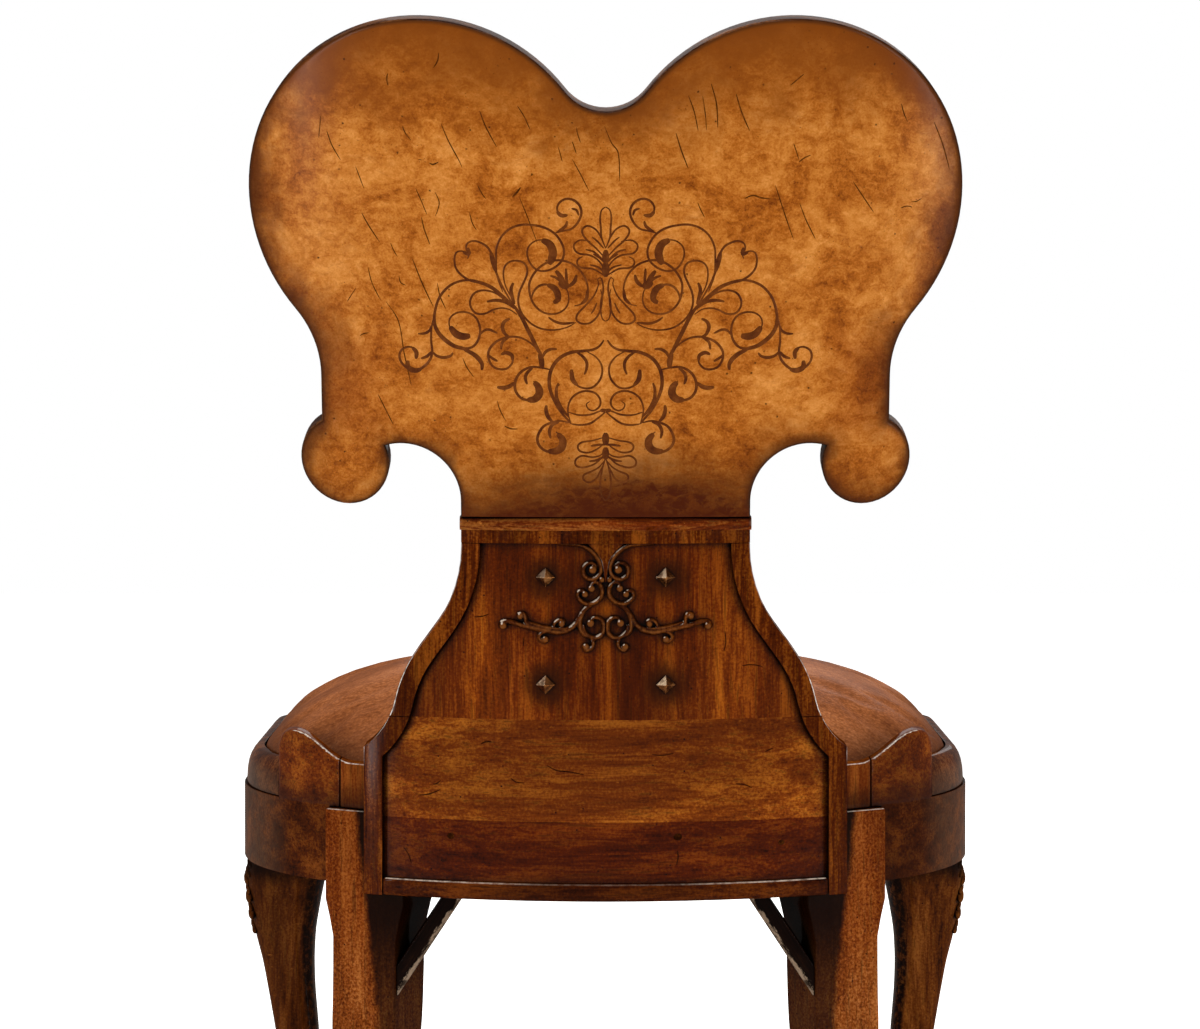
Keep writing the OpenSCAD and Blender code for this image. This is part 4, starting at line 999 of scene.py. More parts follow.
# Marks of wear on the splat: dents, short cracks and three knots, dark with old wax, drawn
# as (thickness, points) in millimetres, across from the middle and up from the floor.
splat_marks = [
    (1.1, [(-92, 476.4), (-88, 478.4), (-84, 478.2)]),
    (0.9, [(-139, 437), (-132, 437.8), (-126, 440), (-122, 442)]),
    (0.8, [(-128, 445.5), (-125, 446), (-122, 448.5)]),
    (0.9, [(-43, 461.5), (-36, 458), (-27, 457), (-16, 455)]),
    (0.7, [(-70, 452), (-66, 449), (-60, 448.4)]),
    (0.7, [(34, 470), (41, 469), (50, 470.4)]),
    (0.8, [(96, 447), (103, 446), (108, 443.6)]),
    (0.7, [(118, 470), (124, 472.4)]),
    (0.8, [(52.7, 398.8), (53.4, 394), (52.2, 388)]),
    (4.6, [(-117, 407.4), (-114.4, 407.8), (-112, 408.6)]),
    (5.0, [(50, 408.4), (52.8, 408.8), (56, 409.2)]),
    (3.6, [(128, 402), (130.4, 402.4), (132.4, 403)]),
    (0.8, [(-150, 398), (-146, 392), (-144, 386)]),
    (0.7, [(88, 560), (88.6, 552), (87.4, 545)]),
    (0.8, [(-97, 570), (-91, 570.6), (-86, 572.4)]),
    (0.7, [(-60, 556), (-60.6, 549)]),
    (0.8, [(101, 534), (108, 534.6), (116, 533)]),
]
scratch_section = [(-1, 0), (-0.6, 0.1), (0.6, 0.1), (1, 0)]
marks_mesh = bmesh.new()
for width, points in splat_marks:
    ribbon(marks_mesh, points, width, scratch_section, 1, on_field, 0.3)
marks = made_of(marks_mesh, "splat_marks")
old_wax = Paint("old_wax")
wax_tone = old_wax.noise(old_wax.place, 240, 4, 0.7)
wax_colour = old_wax.ramp(wax_tone, [(0.35, (0.008, 0.002, 0.0005)), (0.55, (0.020, 0.005, 0.001)),
                                     (0.7, (0.06, 0.015, 0.002))])
marks.data.materials.append(old_wax.finish(wax_colour, 0.6, None, 0, 0))
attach(marks, "root")


# Back board: two lobes, two ears and the arches under them, drawn flat as a chain of arcs,
# thickened, rounded at the rim, bent to a 600 mm radius and leant back on the splat.
# It stands for the board's core and both of its veneers.
board_y = (-26 - plan_middle)*MM
board_z = 644.5*MM
board_lean = math.radians(13)
board_radius = 0.6
board_thick = 0.025
rim_round = 0.0032
strip = 0.0075
strips_aside, strips_up = 35, 48


def place_on_board(point):
    """From the flat drawing (across, depth, up the board) to the chair."""
    x, t, v = point
    y = board_radius - math.sqrt((board_radius - t)**2 - x*x)
    return Vector((x, board_y + y*math.cos(board_lean) - v*math.sin(board_lean),
                   board_z + y*math.sin(board_lean) + v*math.cos(board_lean)))


def first_point(name, x, v):
    """A mesh of one vertex in the XZ plane, selected, to draw an outline from."""
    bpy.ops.object.select_all(action="DESELECT")
    bpy.ops.mesh.primitive_plane_add(size=0.001, location=(0, 0, 0))
    piece = bpy.context.object
    piece.name = piece.data.name = name
    edit(piece)
    bpy.ops.mesh.merge(type="CENTER")
    bpy.ops.transform.translate(value=(x, 0, v))
    return piece


def line_by(x, v):
    """Draws a straight line on from the last vertex."""
    bpy.ops.mesh.extrude_region_move(TRANSFORM_OT_translate={"value": (x, 0, v)})


def arc_about(x, v, degrees, steps):
    """Spins the last vertex about a centre in the XZ plane, anticlockwise seen from the rear."""
    bpy.ops.mesh.spin(steps=steps, angle=math.radians(degrees), center=(x, 0, v), axis=(0, 1, 0))


def turn_between(centre, start, end):
    """Angle of the arc from start to end about the centre, the short way round."""
    a = math.atan2(start[1] - centre[1], start[0] - centre[0])
    b = math.atan2(end[1] - centre[1], end[0] - centre[0])
    turn = math.degrees(b - a)
    return turn - 360*round(turn/360)


arch_centre, ear_centre = (0.148, 0.009), (0.193, 0.0345)
lobe_centre, lobe_r = (0.132, 0.234), 0.1305
neck_centre, neck_r = (0.2819, 0.098), 0.0719
notch_centre, notch_r = (0, 0.33682), 0.03682
neck_x = 0.210
waist_x = 0.1065
board_drop = 0.012
arch_top = (0.1623, 0.04795)
neck_foot = (neck_x, 0.0634)


def touching(a, a_radius, b, b_radius):
    """Where two arcs run into one another: on the line between their centres."""
    return tuple(a[i] + (b[i] - a[i])*a_radius/(a_radius + b_radius) for i in (0, 1))


neck_top = touching(neck_centre, neck_r, lobe_centre, lobe_r)
notch_side = touching(lobe_centre, lobe_r, notch_centre, notch_r)
board = first_point("back_board", waist_x, -board_drop)
line_by(0, arch_centre[1] + board_drop)
arc_about(*arch_centre, turn_between(arch_centre, (waist_x, arch_centre[1]), arch_top), 22)
ear_turn = turn_between(ear_centre, arch_top, neck_foot)
arc_about(*ear_centre, ear_turn if ear_turn > 0 else 360 + ear_turn, 34)
line_by(0, neck_centre[1] - neck_foot[1])
arc_about(*neck_centre, turn_between(neck_centre, (neck_x, neck_centre[1]), neck_top), 10)
lobe_turn = turn_between(lobe_centre, neck_top, notch_side)
arc_about(*lobe_centre, lobe_turn if lobe_turn > 0 else 360 + lobe_turn, 56)
arc_about(*notch_centre, turn_between(notch_centre, notch_side, (0, 0.3)), 8)
only(board)
mirror = board.modifiers.new("other_half", "MIRROR")
mirror.use_axis[0] = True
mirror.merge_threshold = 0.0005
bpy.ops.object.modifier_apply(modifier=mirror.name)
edit(board, "EDGE")
bpy.ops.mesh.remove_doubles(threshold=0.0002)
bpy.ops.mesh.select_all(action="SELECT")
bpy.ops.mesh.edge_face_add()
only(board)
outline = [board.data.vertices[i].co.copy() for i in board.data.polygons[0].vertices]
outline = [(p.x, p.z) for p in outline]
edit(board, "FACE")
bpy.ops.mesh.extrude_region_move(TRANSFORM_OT_translate={"value": (0, board_thick, 0)})
bpy.ops.mesh.select_all(action="SELECT")
bpy.ops.mesh.normals_make_consistent(inside=False)
only(board)
for face in board.data.polygons:
    face.select = abs(face.normal.y) > 0.9
bpy.ops.object.mode_set(mode="EDIT")
bpy.ops.mesh.select_mode(type="FACE")
bpy.ops.mesh.region_to_loop()
bpy.ops.mesh.bevel(offset=rim_round, segments=4, profile=0.6)
for i in range(-strips_aside, strips_aside + 1):
    bpy.ops.mesh.select_all(action="SELECT")
    bpy.ops.mesh.bisect(plane_co=(i*strip, 0, 0), plane_no=(1, 0, 0))
for i in range(strips_up + 1):
    bpy.ops.mesh.select_all(action="SELECT")
    bpy.ops.mesh.bisect(plane_co=(0, 0, i*strip), plane_no=(0, 0, 1))
only(board)


def gap_to_outline(x, v):
    """Distance from a point of the flat board to the board's outline."""
    best = 1
    for i, (ax, av) in enumerate(outline):
        bx, bv = outline[(i + 1) % len(outline)]
        ex, ev = bx - ax, bv - av
        along = max(0, min(1, ((x - ax)*ex + (v - av)*ev)/(ex*ex + ev*ev + 1e-12)))
        best = min(best, math.hypot(x - ax - along*ex, v - av - along*ev))
    return best


rim = board.data.attributes.new("rim", "FLOAT", "POINT")
rear, side, front = 0, 1, 2
outer_skin = 0.0012
hidden_foot, foot_gap = 0.002, 0.004
for vertex in board.data.vertices:
    in_sight = vertex.co.z > hidden_foot
    rim.data[vertex.index].value = gap_to_outline(vertex.co.x, vertex.co.z) if in_sight else foot_gap
for face in board.data.polygons:
    deep = sum(board.data.vertices[i].co.y for i in face.vertices)/len(face.vertices)
    face.material_index = (rear if deep < outer_skin else
                           front if deep > board_thick - outer_skin else side)
for vertex in board.data.vertices:
    vertex.co = place_on_board((vertex.co.x, vertex.co.y, vertex.co.z))
edit(board)
bpy.ops.mesh.bisect(plane_co=(0, 0, board_z), plane_no=(0, 0, 1), clear_inner=True, use_fill=True)
only(board)
bpy.ops.object.shade_smooth_by_angle(angle=math.radians(40))


def burl(name):
    """Golden burl, clouded brown, dark towards the rim, the lobes' tops and the splat."""
    paint = Paint(name)
    rim_node = paint.tree.nodes.new("ShaderNodeAttribute")
    rim_node.attribute_name = "rim"
    edge = rim_node.outputs["Fac"]
    x, depth, height = paint.split(paint.place)
    across = paint.math("ABSOLUTE", x, 0)
    wander = paint.warped(paint.place, 9, 0.05)
    cloud = paint.noise(wander, 19, 10, 0.70, 0.5)
    quiver = paint.warped(paint.place, 70, 0.012)
    fleck = paint.noise(paint.stretched((1, 1, 1.8), (0, 0.6, 0), quiver), 95, 6, 0.7, 0.6)
    dust = paint.noise(paint.place, 640, 3, 0.6)
    value = paint.blend((0.50, cloud), (0.33, fleck), (0.17, dust))
    colour = paint.ramp(value, [(0.38, (0.135, 0.028, 0.002)), (0.46, (0.300, 0.080, 0.007)),
                                (0.52, (0.430, 0.143, 0.019)), (0.61, (0.580, 0.232, 0.050))])
    flame = paint.noise(paint.stretched((1, 1, 2.0), (0, 0.7, 0), wander), 40, 8, 0.72, 1.2)
    flame = paint.math("MULTIPLY", paint.step(flame, 0.52, 0.70, 0, 0.45),
                       paint.step(height, 0.665, 0.745, 0.15, 1))
    colour = paint.mix(flame, colour, (0.20, 0.045, 0.003, 1))
    uneven = paint.math("SUBTRACT", paint.noise(wander, 20, 6, 0.65), 0.5)
    ragged = paint.math("MULTIPLY_ADD", uneven, -0.09, edge)
    band = paint.step(ragged, 0.034, 0.0)
    strong = paint.step(height, 0.70, 0.86, 0.40, 0.78)
    strong = paint.math("MULTIPLY", strong, paint.step(fleck, 0.36, 0.60, 0.72, 1.12))
    colour = paint.mix(paint.math("MULTIPLY", band, strong), colour, (0.26, 0.15, 0.09, 1), "MULTIPLY")
    narrow = paint.step(paint.math("MULTIPLY_ADD", uneven, -0.03, edge), 0.011, 0.0005, 0, 0.75)
    colour = paint.mix(narrow, colour, (0.050, 0.010, 0.001, 1))
    top = paint.step(paint.math("MULTIPLY_ADD", uneven, 0.16, height), 0.90, 0.985, 0, 0.62)
    colour = paint.mix(top, colour, (0.165, 0.038, 0.003, 1))
    notch = paint.math("MULTIPLY_ADD", across, -0.45, height)
    notch = paint.step(paint.math("MULTIPLY_ADD", uneven, 0.10, notch), 0.85, 0.94, 0, 0.42)
    colour = paint.mix(notch, colour, (0.19, 0.050, 0.004, 1))
    off_right = paint.math("ABSOLUTE", paint.math("SUBTRACT", x, 0.022), 0)
    foot = paint.math("MULTIPLY_ADD", off_right, 0.22, height)
    streaky = paint.noise(paint.stretched((8, 8, 60), (0, 0.15, 0), wander), 1, 6, 0.65)
    foot = paint.math("MULTIPLY_ADD", paint.math("SUBTRACT", streaky, 0.5), -0.05, foot)
    foot = paint.math("MULTIPLY_ADD", paint.step(across, 0.034, 0.008), 0.006, foot)
    grainy = paint.step(fleck, 0.36, 0.62, 0.88, 1.05)
    low = paint.math("MULTIPLY", paint.step(foot, 0.726, 0.660, 0, 0.98), grainy)
    colour = paint.mix(low, colour, (0.050, 0.007, 0.0004, 1))
    beside = paint.math("ABSOLUTE", paint.math("SUBTRACT", across, 0.205), 0)
    beyond = paint.math("ABSOLUTE", paint.math("SUBTRACT", height, 0.742), 0)
    neck = paint.math("MULTIPLY_ADD", uneven, 0.05, paint.math("MAXIMUM", beside, beyond))
    neck = paint.math("MULTIPLY", paint.step(neck, 0.052, 0.018, 0, 0.45), grainy)
    colour = paint.mix(neck, colour, (0.62, 0.44, 0.36, 1), "MULTIPLY")
    colour = paint.mix(paint.step(edge, 0.0040, 0.0005, 0, 0.85), colour, (0.030, 0.010, 0.003, 1))
    specks = paint.step(paint.cells(paint.warped(paint.place, 300, 0.002), 115), 0.05, 0.13, 1, 0)
    speck_mask = paint.math("MULTIPLY", specks,
                            paint.step(paint.noise(paint.place, 45, 2), 0.50, 0.58, 0, 0.9))
    colour = paint.mix(speck_mask, colour, (0.045, 0.012, 0.002, 1))
    pricks = paint.step(paint.cells(paint.place, 330), 0.08, 0.20, 1, 0)
    prick_mask = paint.math("MULTIPLY", pricks,
                            paint.step(paint.noise(paint.place, 33, 4), 0.50, 0.62, 0, 0.75))
    colour = paint.mix(prick_mask, colour, (0.10, 0.024, 0.002, 1))
    rough = paint.step(paint.noise(paint.place, 30, 5, 0.6), 0.3, 0.7, 0.30, 0.46)
    relief = paint.bump(paint.math("SUBTRACT", 1, speck_mask), 0.0004, 0.5)
    relief = paint.bump(paint.noise(paint.place, 55, 4, 0.6), 0.0006, 0.22, relief)
    return paint.finish(colour, rough, relief, 0, 0.07, 0.2)


burl_paint = burl("burl_veneer")
rim_paint = walnut("board_rim", (0.008, 0.002, 0.0005), (0.034, 0.008, 0.001),
                   (0.16, 0.055, 0.014), "x", coat=0.05)
for paint in (burl_paint, rim_paint, burl_paint):
    board.data.materials.append(paint)
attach(board, "root")
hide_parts("back_board_core", "rear_veneer", "front_veneer")


# Marquetry: dark ribbons let into the rear veneer, drawn as strokes in millimetres on the
# left half, across from the middle and up from the board's foot, and repeated on the right.
# A stroke is (thickness, points); it tapers at both ends. A shaded leaf is a short fat one.
inlay_strokes = [
    # The palmette at the top
    (1.3, [(0, 201), (3, 209), (3.5, 216), (4, 223), (3, 229), (0, 231.3)]),
    (1.3, [(0, 201), (3.3, 209), (7.4, 215), (13, 217.5), (16.7, 215), (16.3, 211), (12.5, 206),
           (7.4, 201.5), (2.3, 196), (0, 193)]),
    (1.2, [(10, 209.4), (6.4, 206.6), (1.3, 201)]),
    (1.3, [(11, 206), (16, 207), (19.6, 206.6), (22.9, 203.5), (22.1, 199.5), (18.6, 197), (11.5, 196),
           (5.4, 192.3), (0, 184.7)]),
    (1.3, [(14.5, 200.2), (8.4, 198.4), (2.3, 192.8)]),
    (1.3, [(16.5, 195), (20.1, 192.8), (20.4, 189.2), (17, 186.7), (9.4, 186), (3.3, 182.6), (0, 180.6)]),
    (1.3, [(11.5, 189), (5.4, 187.2), (1.3, 183.6)]),
    (3.0, [(0, 200), (0.8, 195), (0.3, 190)]),
    (3.4, [(0, 191), (0.9, 186), (0, 180)]),
    (1.6, [(0, 190), (4, 194), (9, 197)]),
    # Slim petals below it
    (1.3, [(5.9, 178), (3.9, 179.6), (2.3, 176.5), (1.8, 170), (3.3, 162), (3.6, 155), (2.3, 149),
           (0, 147.4)]),
    (1.3, [(5.9, 178), (5.2, 174.5), (8.4, 166.3), (14.5, 159), (20, 153), (21.1, 148.4), (17.5, 145.6),
           (11.5, 146), (6.4, 150.5), (3.5, 157), (2.6, 164), (3.6, 171)]),
    (1.2, [(6.4, 161), (8.5, 156), (10.5, 153)]),
    # The eye: a double spiral with a fan of lashes
    (1.5, [(22.6, 158.6), (16.5, 160.7), (13, 167.3), (13.5, 175.5), (17, 183), (23.6, 189.2),
           (31.7, 192), (40, 191.3), (47, 187.2), (52, 181.6), (55.1, 174.5), (54.6, 166.3), (51.5, 159),
           (45, 153.5), (36.8, 152.5), (30.2, 155.6), (26.9, 161.2), (27.2, 168.3), (29.2, 172.4)]),
    (2.2, [(18, 159.8), (14, 164), (13, 171)]),
    (1.5, [(53.5, 163.7), (52, 168.8), (48, 173), (43, 174.2), (37.8, 172.4)]),
    (4.2, [(42, 174), (37, 171.5), (34.6, 167), (34.6, 163), (37.8, 160.7)]),
    (5.2, [(33, 177), (30, 174), (26.5, 173)]),
    (1.8, [(40, 180.6), (35.3, 179), (30, 174)]),
    (3.0, [(36, 184.5), (32.3, 179.6), (29.5, 174)]),
    (1.8, [(28.7, 186.2), (28.4, 180.6), (28, 174)]),
    (2.4, [(21, 181.6), (22.6, 176.5), (27, 172.6)]),
    # The great arch and the shaded curl inside it
    (1.5, [(74.3, 168), (78.4, 180), (79, 193.8), (78.4, 201), (74.8, 209), (68.3, 215), (60, 217.8),
           (51, 217.5), (43, 215.5), (36.8, 211.7), (32.3, 206), (30, 199), (31.7, 191.8), (37.8, 186.2),
           (45, 184), (51, 185.7), (55, 190.8), (56.6, 197), (55, 202.5), (50, 206.3), (44, 206.6),
           (40, 203.5)]),
    (5.2, [(46, 206.8), (40.5, 204), (38, 198), (39.5, 192), (41, 189)]),
    (2.6, [(37, 202), (36.6, 196), (38.5, 190)]),
    # The curl that springs from its top
    (1.6, [(37.8, 211.7), (30.7, 213.7), (24.6, 215.3), (20, 220), (17.5, 226.5), (18.6, 232),
           (22.6, 236), (27.7, 237.2), (32.3, 235.2), (34.8, 231), (33.8, 226.5), (29.7, 224.7),
           (27, 225.5)]),
    (2.6, [(35, 228), (32, 225), (27.5, 225.2)]),
    (1.6, [(24.6, 230), (21, 229), (19.4, 225)]),
    (2.0, [(27.7, 221), (29, 217), (35, 212.6)]),
    # The drop and the long swing under it
    (1.4, [(67.7, 163), (72.3, 172.4), (73.8, 180.6), (72.8, 186.7), (69.3, 190.3), (64.2, 191.3),
           (59, 189.8), (56.6, 185.7), (57, 180.6), (59.6, 174.5), (62.2, 168.3), (63.2, 162.2),
           (62.2, 156), (59, 150), (53, 144.4), (46, 141.3), (36.8, 140.6), (27.7, 142.8),
           (21.6, 146.4)]),
    (1.8, [(41.4, 150), (36.8, 147), (30.7, 145.4), (22.6, 146.4)]),
    (2.4, [(66.7, 175), (68.4, 169), (66, 159)]),
    # The heart-shaped leaf
    (1.5, [(66, 157), (74.3, 171.4), (78.4, 180.6), (81, 188.7), (82.5, 196), (85.5, 201), (90.6, 204),
           (95.6, 205), (99.7, 203), (100.7, 199), (98.7, 195.4), (99.7, 191.8)]),
    (1.5, [(98.7, 195.4), (103.8, 197.2), (107.8, 196), (109.3, 190.8), (108.3, 184.7), (104.8, 180),
           (98.7, 176), (90.6, 174), (82.5, 170.4), (74.3, 164.2), (66.2, 158)]),
    (3.2, [(82.8, 197), (81.4, 191), (79.2, 183)]),
    (2.6, [(99.5, 200), (98.8, 195.5), (103, 196.6)]),
    # The left branch, rolled up in a spiral
    (1.7, [(64.2, 156), (74.3, 165.5), (82.5, 171.8), (90.6, 174.8), (98.7, 176), (106.8, 174.5),
           (114, 170.4), (120, 163.2), (123.2, 155), (124.5, 146), (123, 138.7), (118, 131.6),
           (109.8, 126.5), (102.7, 125), (96.7, 126.5), (92.6, 131.6), (91, 138.7), (92.6, 146),
           (96.7, 150.5), (102.7, 152.2), (108.8, 151), (113, 147), (113.4, 141.3), (110, 136)]),
    (2.8, [(124.5, 150), (124, 141), (119.5, 133.4), (111, 127), (103, 124.8), (97, 122)]),
    (4.8, [(113, 141), (109, 136), (104, 134), (98.2, 134.7)]),
    (1.7, [(91.1, 135.7), (88.5, 138.7), (84.5, 139.8), (78.4, 137.2)]),
    (3.0, [(102.7, 124), (96.7, 121.4), (92.1, 117.6), (89.8, 113.5), (90.1, 109.4)]),
    # The leaf between the branches
    (1.4, [(64, 155), (72.3, 161.5), (78.4, 166.3), (84.5, 168.5), (90.6, 168.5), (95.6, 165.8),
           (98.2, 160.2), (97.2, 155), (93.6, 151.5), (87.5, 151.5), (81.4, 154.6), (75.4, 156),
           (69.3, 155), (64.2, 151.5)]),
    (2.2, [(86, 160.5), (79.4, 161.7), (72.3, 160.5), (65, 155.5)]),
    # Main stem and what grows from it
    (2.6, [(69.3, 161.2), (64.2, 155), (60, 148), (56, 139.8), (52, 131.6), (49, 125.5), (47, 121.6),
           (46.2, 112.4)]),
    (3.6, [(48, 123), (46.6, 118), (46.2, 112)]),
    (2.4, [(69.3, 148.4), (73.3, 146), (74.8, 141.8), (72.8, 136.7), (69.3, 134.7)]),
    (1.6, [(48.5, 125), (55, 131), (62.2, 134.5), (70.3, 134.7), (78.4, 131.6), (83.5, 126.5),
           (85.3, 121.6), (84.5, 116.5), (81.4, 112), (76.4, 110.4), (71.3, 111.4), (67.6, 116),
           (68.3, 120.6), (72.3, 123.2), (75.9, 121.6)]),
    (2.6, [(67.6, 117), (68, 121), (72.3, 123), (75.9, 121.4)]),
    (1.8, [(70, 134.5), (74.8, 130.8), (75.9, 125.2)]),
    (1.8, [(85.3, 121), (82.5, 118.6), (78.4, 116.3)]),
    (2.0, [(45.9, 119.6), (44, 123.7), (40, 126.2), (35.3, 126.4)]),
    # The curl at the lower left
    (1.8, [(40.4, 111), (47, 112.4), (54, 112.7), (60, 110), (64.2, 105.3), (66, 99.2), (65.2, 94),
           (61.7, 89.5), (56, 87.8), (51, 89), (48, 93), (48.5, 98.2), (52.5, 102.2)]),
    (5.0, [(57, 88), (51.5, 88.8), (48.2, 93), (49, 98), (52, 101.6)]),
    (2.2, [(53, 112), (57, 108.4), (58.3, 104.3), (57, 99.7)]),
    (2.8, [(66.2, 100.8), (70.3, 97.7), (74.3, 96.6), (79, 97)]),
    # The pointed arch in the middle
    (2.3, [(1.3, 133.4), (4.4, 129), (9.4, 126.2), (16.5, 125.2), (24.6, 124.2), (31.7, 121), (36.8, 116),
           (40, 109.4), (41, 102.2), (40, 95), (36.8, 87), (32.7, 79.8), (27.7, 73.7), (25.2, 70.6)]),
    (2.2, [(34.3, 101.2), (35.8, 96), (35.3, 89), (31.7, 81.8), (27, 76)]),
    (1.4, [(13.5, 124.7), (7.4, 121), (3.3, 115.5), (2.5, 109.4), (4.4, 103.3), (9.4, 98.2), (15.5, 97.4),
           (21.6, 100.2), (25.2, 106.3), (24.8, 111.4)]),
    (3.0, [(20.5, 99.6), (24, 104), (24.8, 111.4)]),
    (2.0, [(21.6, 124.7), (16.5, 121), (13.7, 116.5), (14, 111.4), (15.5, 107.6)]),
    # The swirl and its ribbon
    (1.4, [(25.2, 70.6), (27.2, 77.8), (27.2, 84), (24.6, 90), (19.6, 94), (13.5, 95.4), (7.4, 93.6),
           (4, 89), (4.4, 84), (8.4, 80.8), (12.5, 81.8), (14, 85.4), (11.5, 87.5)]),
    (1.3, [(26.7, 79.3), (19.6, 77.3), (11.5, 77.6), (5.4, 79.8), (0, 81.8)]),
    (1.4, [(25.2, 70.6), (18.6, 69.8), (11.5, 71), (5.4, 75.2), (0, 79.8)]),
    (2.6, [(4, 81), (0.8, 80.6), (0, 80.2)]),
    # The curl at the foot
    (1.8, [(26.7, 71.4), (32.7, 72.7), (38.8, 71.6), (45, 68.6), (48.5, 63.5), (49.8, 58.4), (48, 53.3),
           (43, 49.7), (36.8, 49.7), (32.3, 52.2), (30.7, 57.3), (32.7, 61.4), (36.3, 64.5)]),
    (5.0, [(42, 49.6), (36, 50), (32, 53), (31.4, 58.5), (35, 63)]),
    (2.2, [(33.8, 72), (38.8, 69.6), (41, 64.5), (40, 59.4)]),
    (2.6, [(38.8, 72), (42, 75.7), (43.4, 80.8), (43, 84.4)]),
    # The palmette that hangs from it
    (1.3, [(0, 61), (5, 59.4), (10, 58), (17.3, 56.8), (20.3, 53.8), (18.8, 50.2), (13.2, 49), (8, 50.7),
           (3, 54.3), (0, 58.4)]),
    (1.3, [(0, 51.2), (4, 47), (10, 45.6), (17.3, 46.6), (21.8, 43.6), (21.8, 39.5), (17.3, 37.7),
           (10, 39.5), (5, 43), (0, 49)]),
    (1.3, [(0.8, 43), (5, 38), (10, 35), (15.7, 32.3), (16.2, 28.8), (12.2, 26.5), (7, 29.3), (4, 35),
           (0.6, 42)]),
    (1.3, [(0, 45), (2.2, 38), (3.6, 30), (3.9, 22.7), (2.6, 16), (0, 12.5)]),
    (3.4, [(0, 64), (0.7, 60), (0.2, 55)]),
    (3.2, [(0, 53), (0.8, 49), (0.2, 44)]),
    (1.6, [(0, 55), (5, 55), (11, 54)]),
    (1.6, [(0, 47), (6, 43.5), (12, 42.5)]),
    # Far left: the stem down to the last curl, and its sprigs
    (1.7, [(124.5, 148), (126.5, 140), (127, 130), (126.3, 121.6), (128, 115.5), (132.2, 110.4),
           (138.2, 106.8), (144.3, 108), (149, 112), (150.6, 117), (149, 121.6), (144.3, 124.2),
           (139.8, 123.2), (137.7, 119), (138.4, 115.5)]),
    (2.8, [(141, 124), (138, 120.5), (138.4, 115.5)]),
    (3.6, [(134.5, 108), (139.5, 106.8), (144.3, 109), (144.3, 114)]),
    (2.0, [(134.7, 116), (130, 118), (126.9, 121.6)]),
    (2.0, [(126.3, 121.6), (123, 118.6), (118, 117.6), (113, 119), (111, 121.6)]),
    (1.8, [(136.7, 134.4), (131.6, 135), (128, 137.4), (126.6, 141)]),
]


clear_of_veneer = 0.00002
inlay_wider = 1.18
low_round = [(-1, 0), (-0.6, 0.12), (0.6, 0.12), (1, 0)]


def on_veneer(x, v, height):
    """A point of the marquetry: across, up the board and out from the veneer, in millimetres."""
    return place_on_board((x*MM, -height*MM - clear_of_veneer, v*MM))


inlay_mesh = bmesh.new()
for width, points in inlay_strokes:
    for side in (1, -1):
        ribbon(inlay_mesh, points, inlay_wider*width, low_round, side, on_veneer, 0.4)
inlay = made_of(inlay_mesh, "marquetry")
stain = Paint("marquetry_stain")
uneven = stain.noise(stain.place, 90, 6, 0.7)
stain_colour = stain.ramp(uneven, [(0.3, (0.040, 0.008, 0.002)), (0.55, (0.105, 0.026, 0.004)),
                                   (0.8, (0.20, 0.06, 0.012))])
stain_rough = stain.step(uneven, 0.3, 0.7, 0.32, 0.45)
inlay.data.materials.append(stain.finish(stain_colour, stain_rough, None, 0, 0.07, 0.2))
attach(inlay, "root")


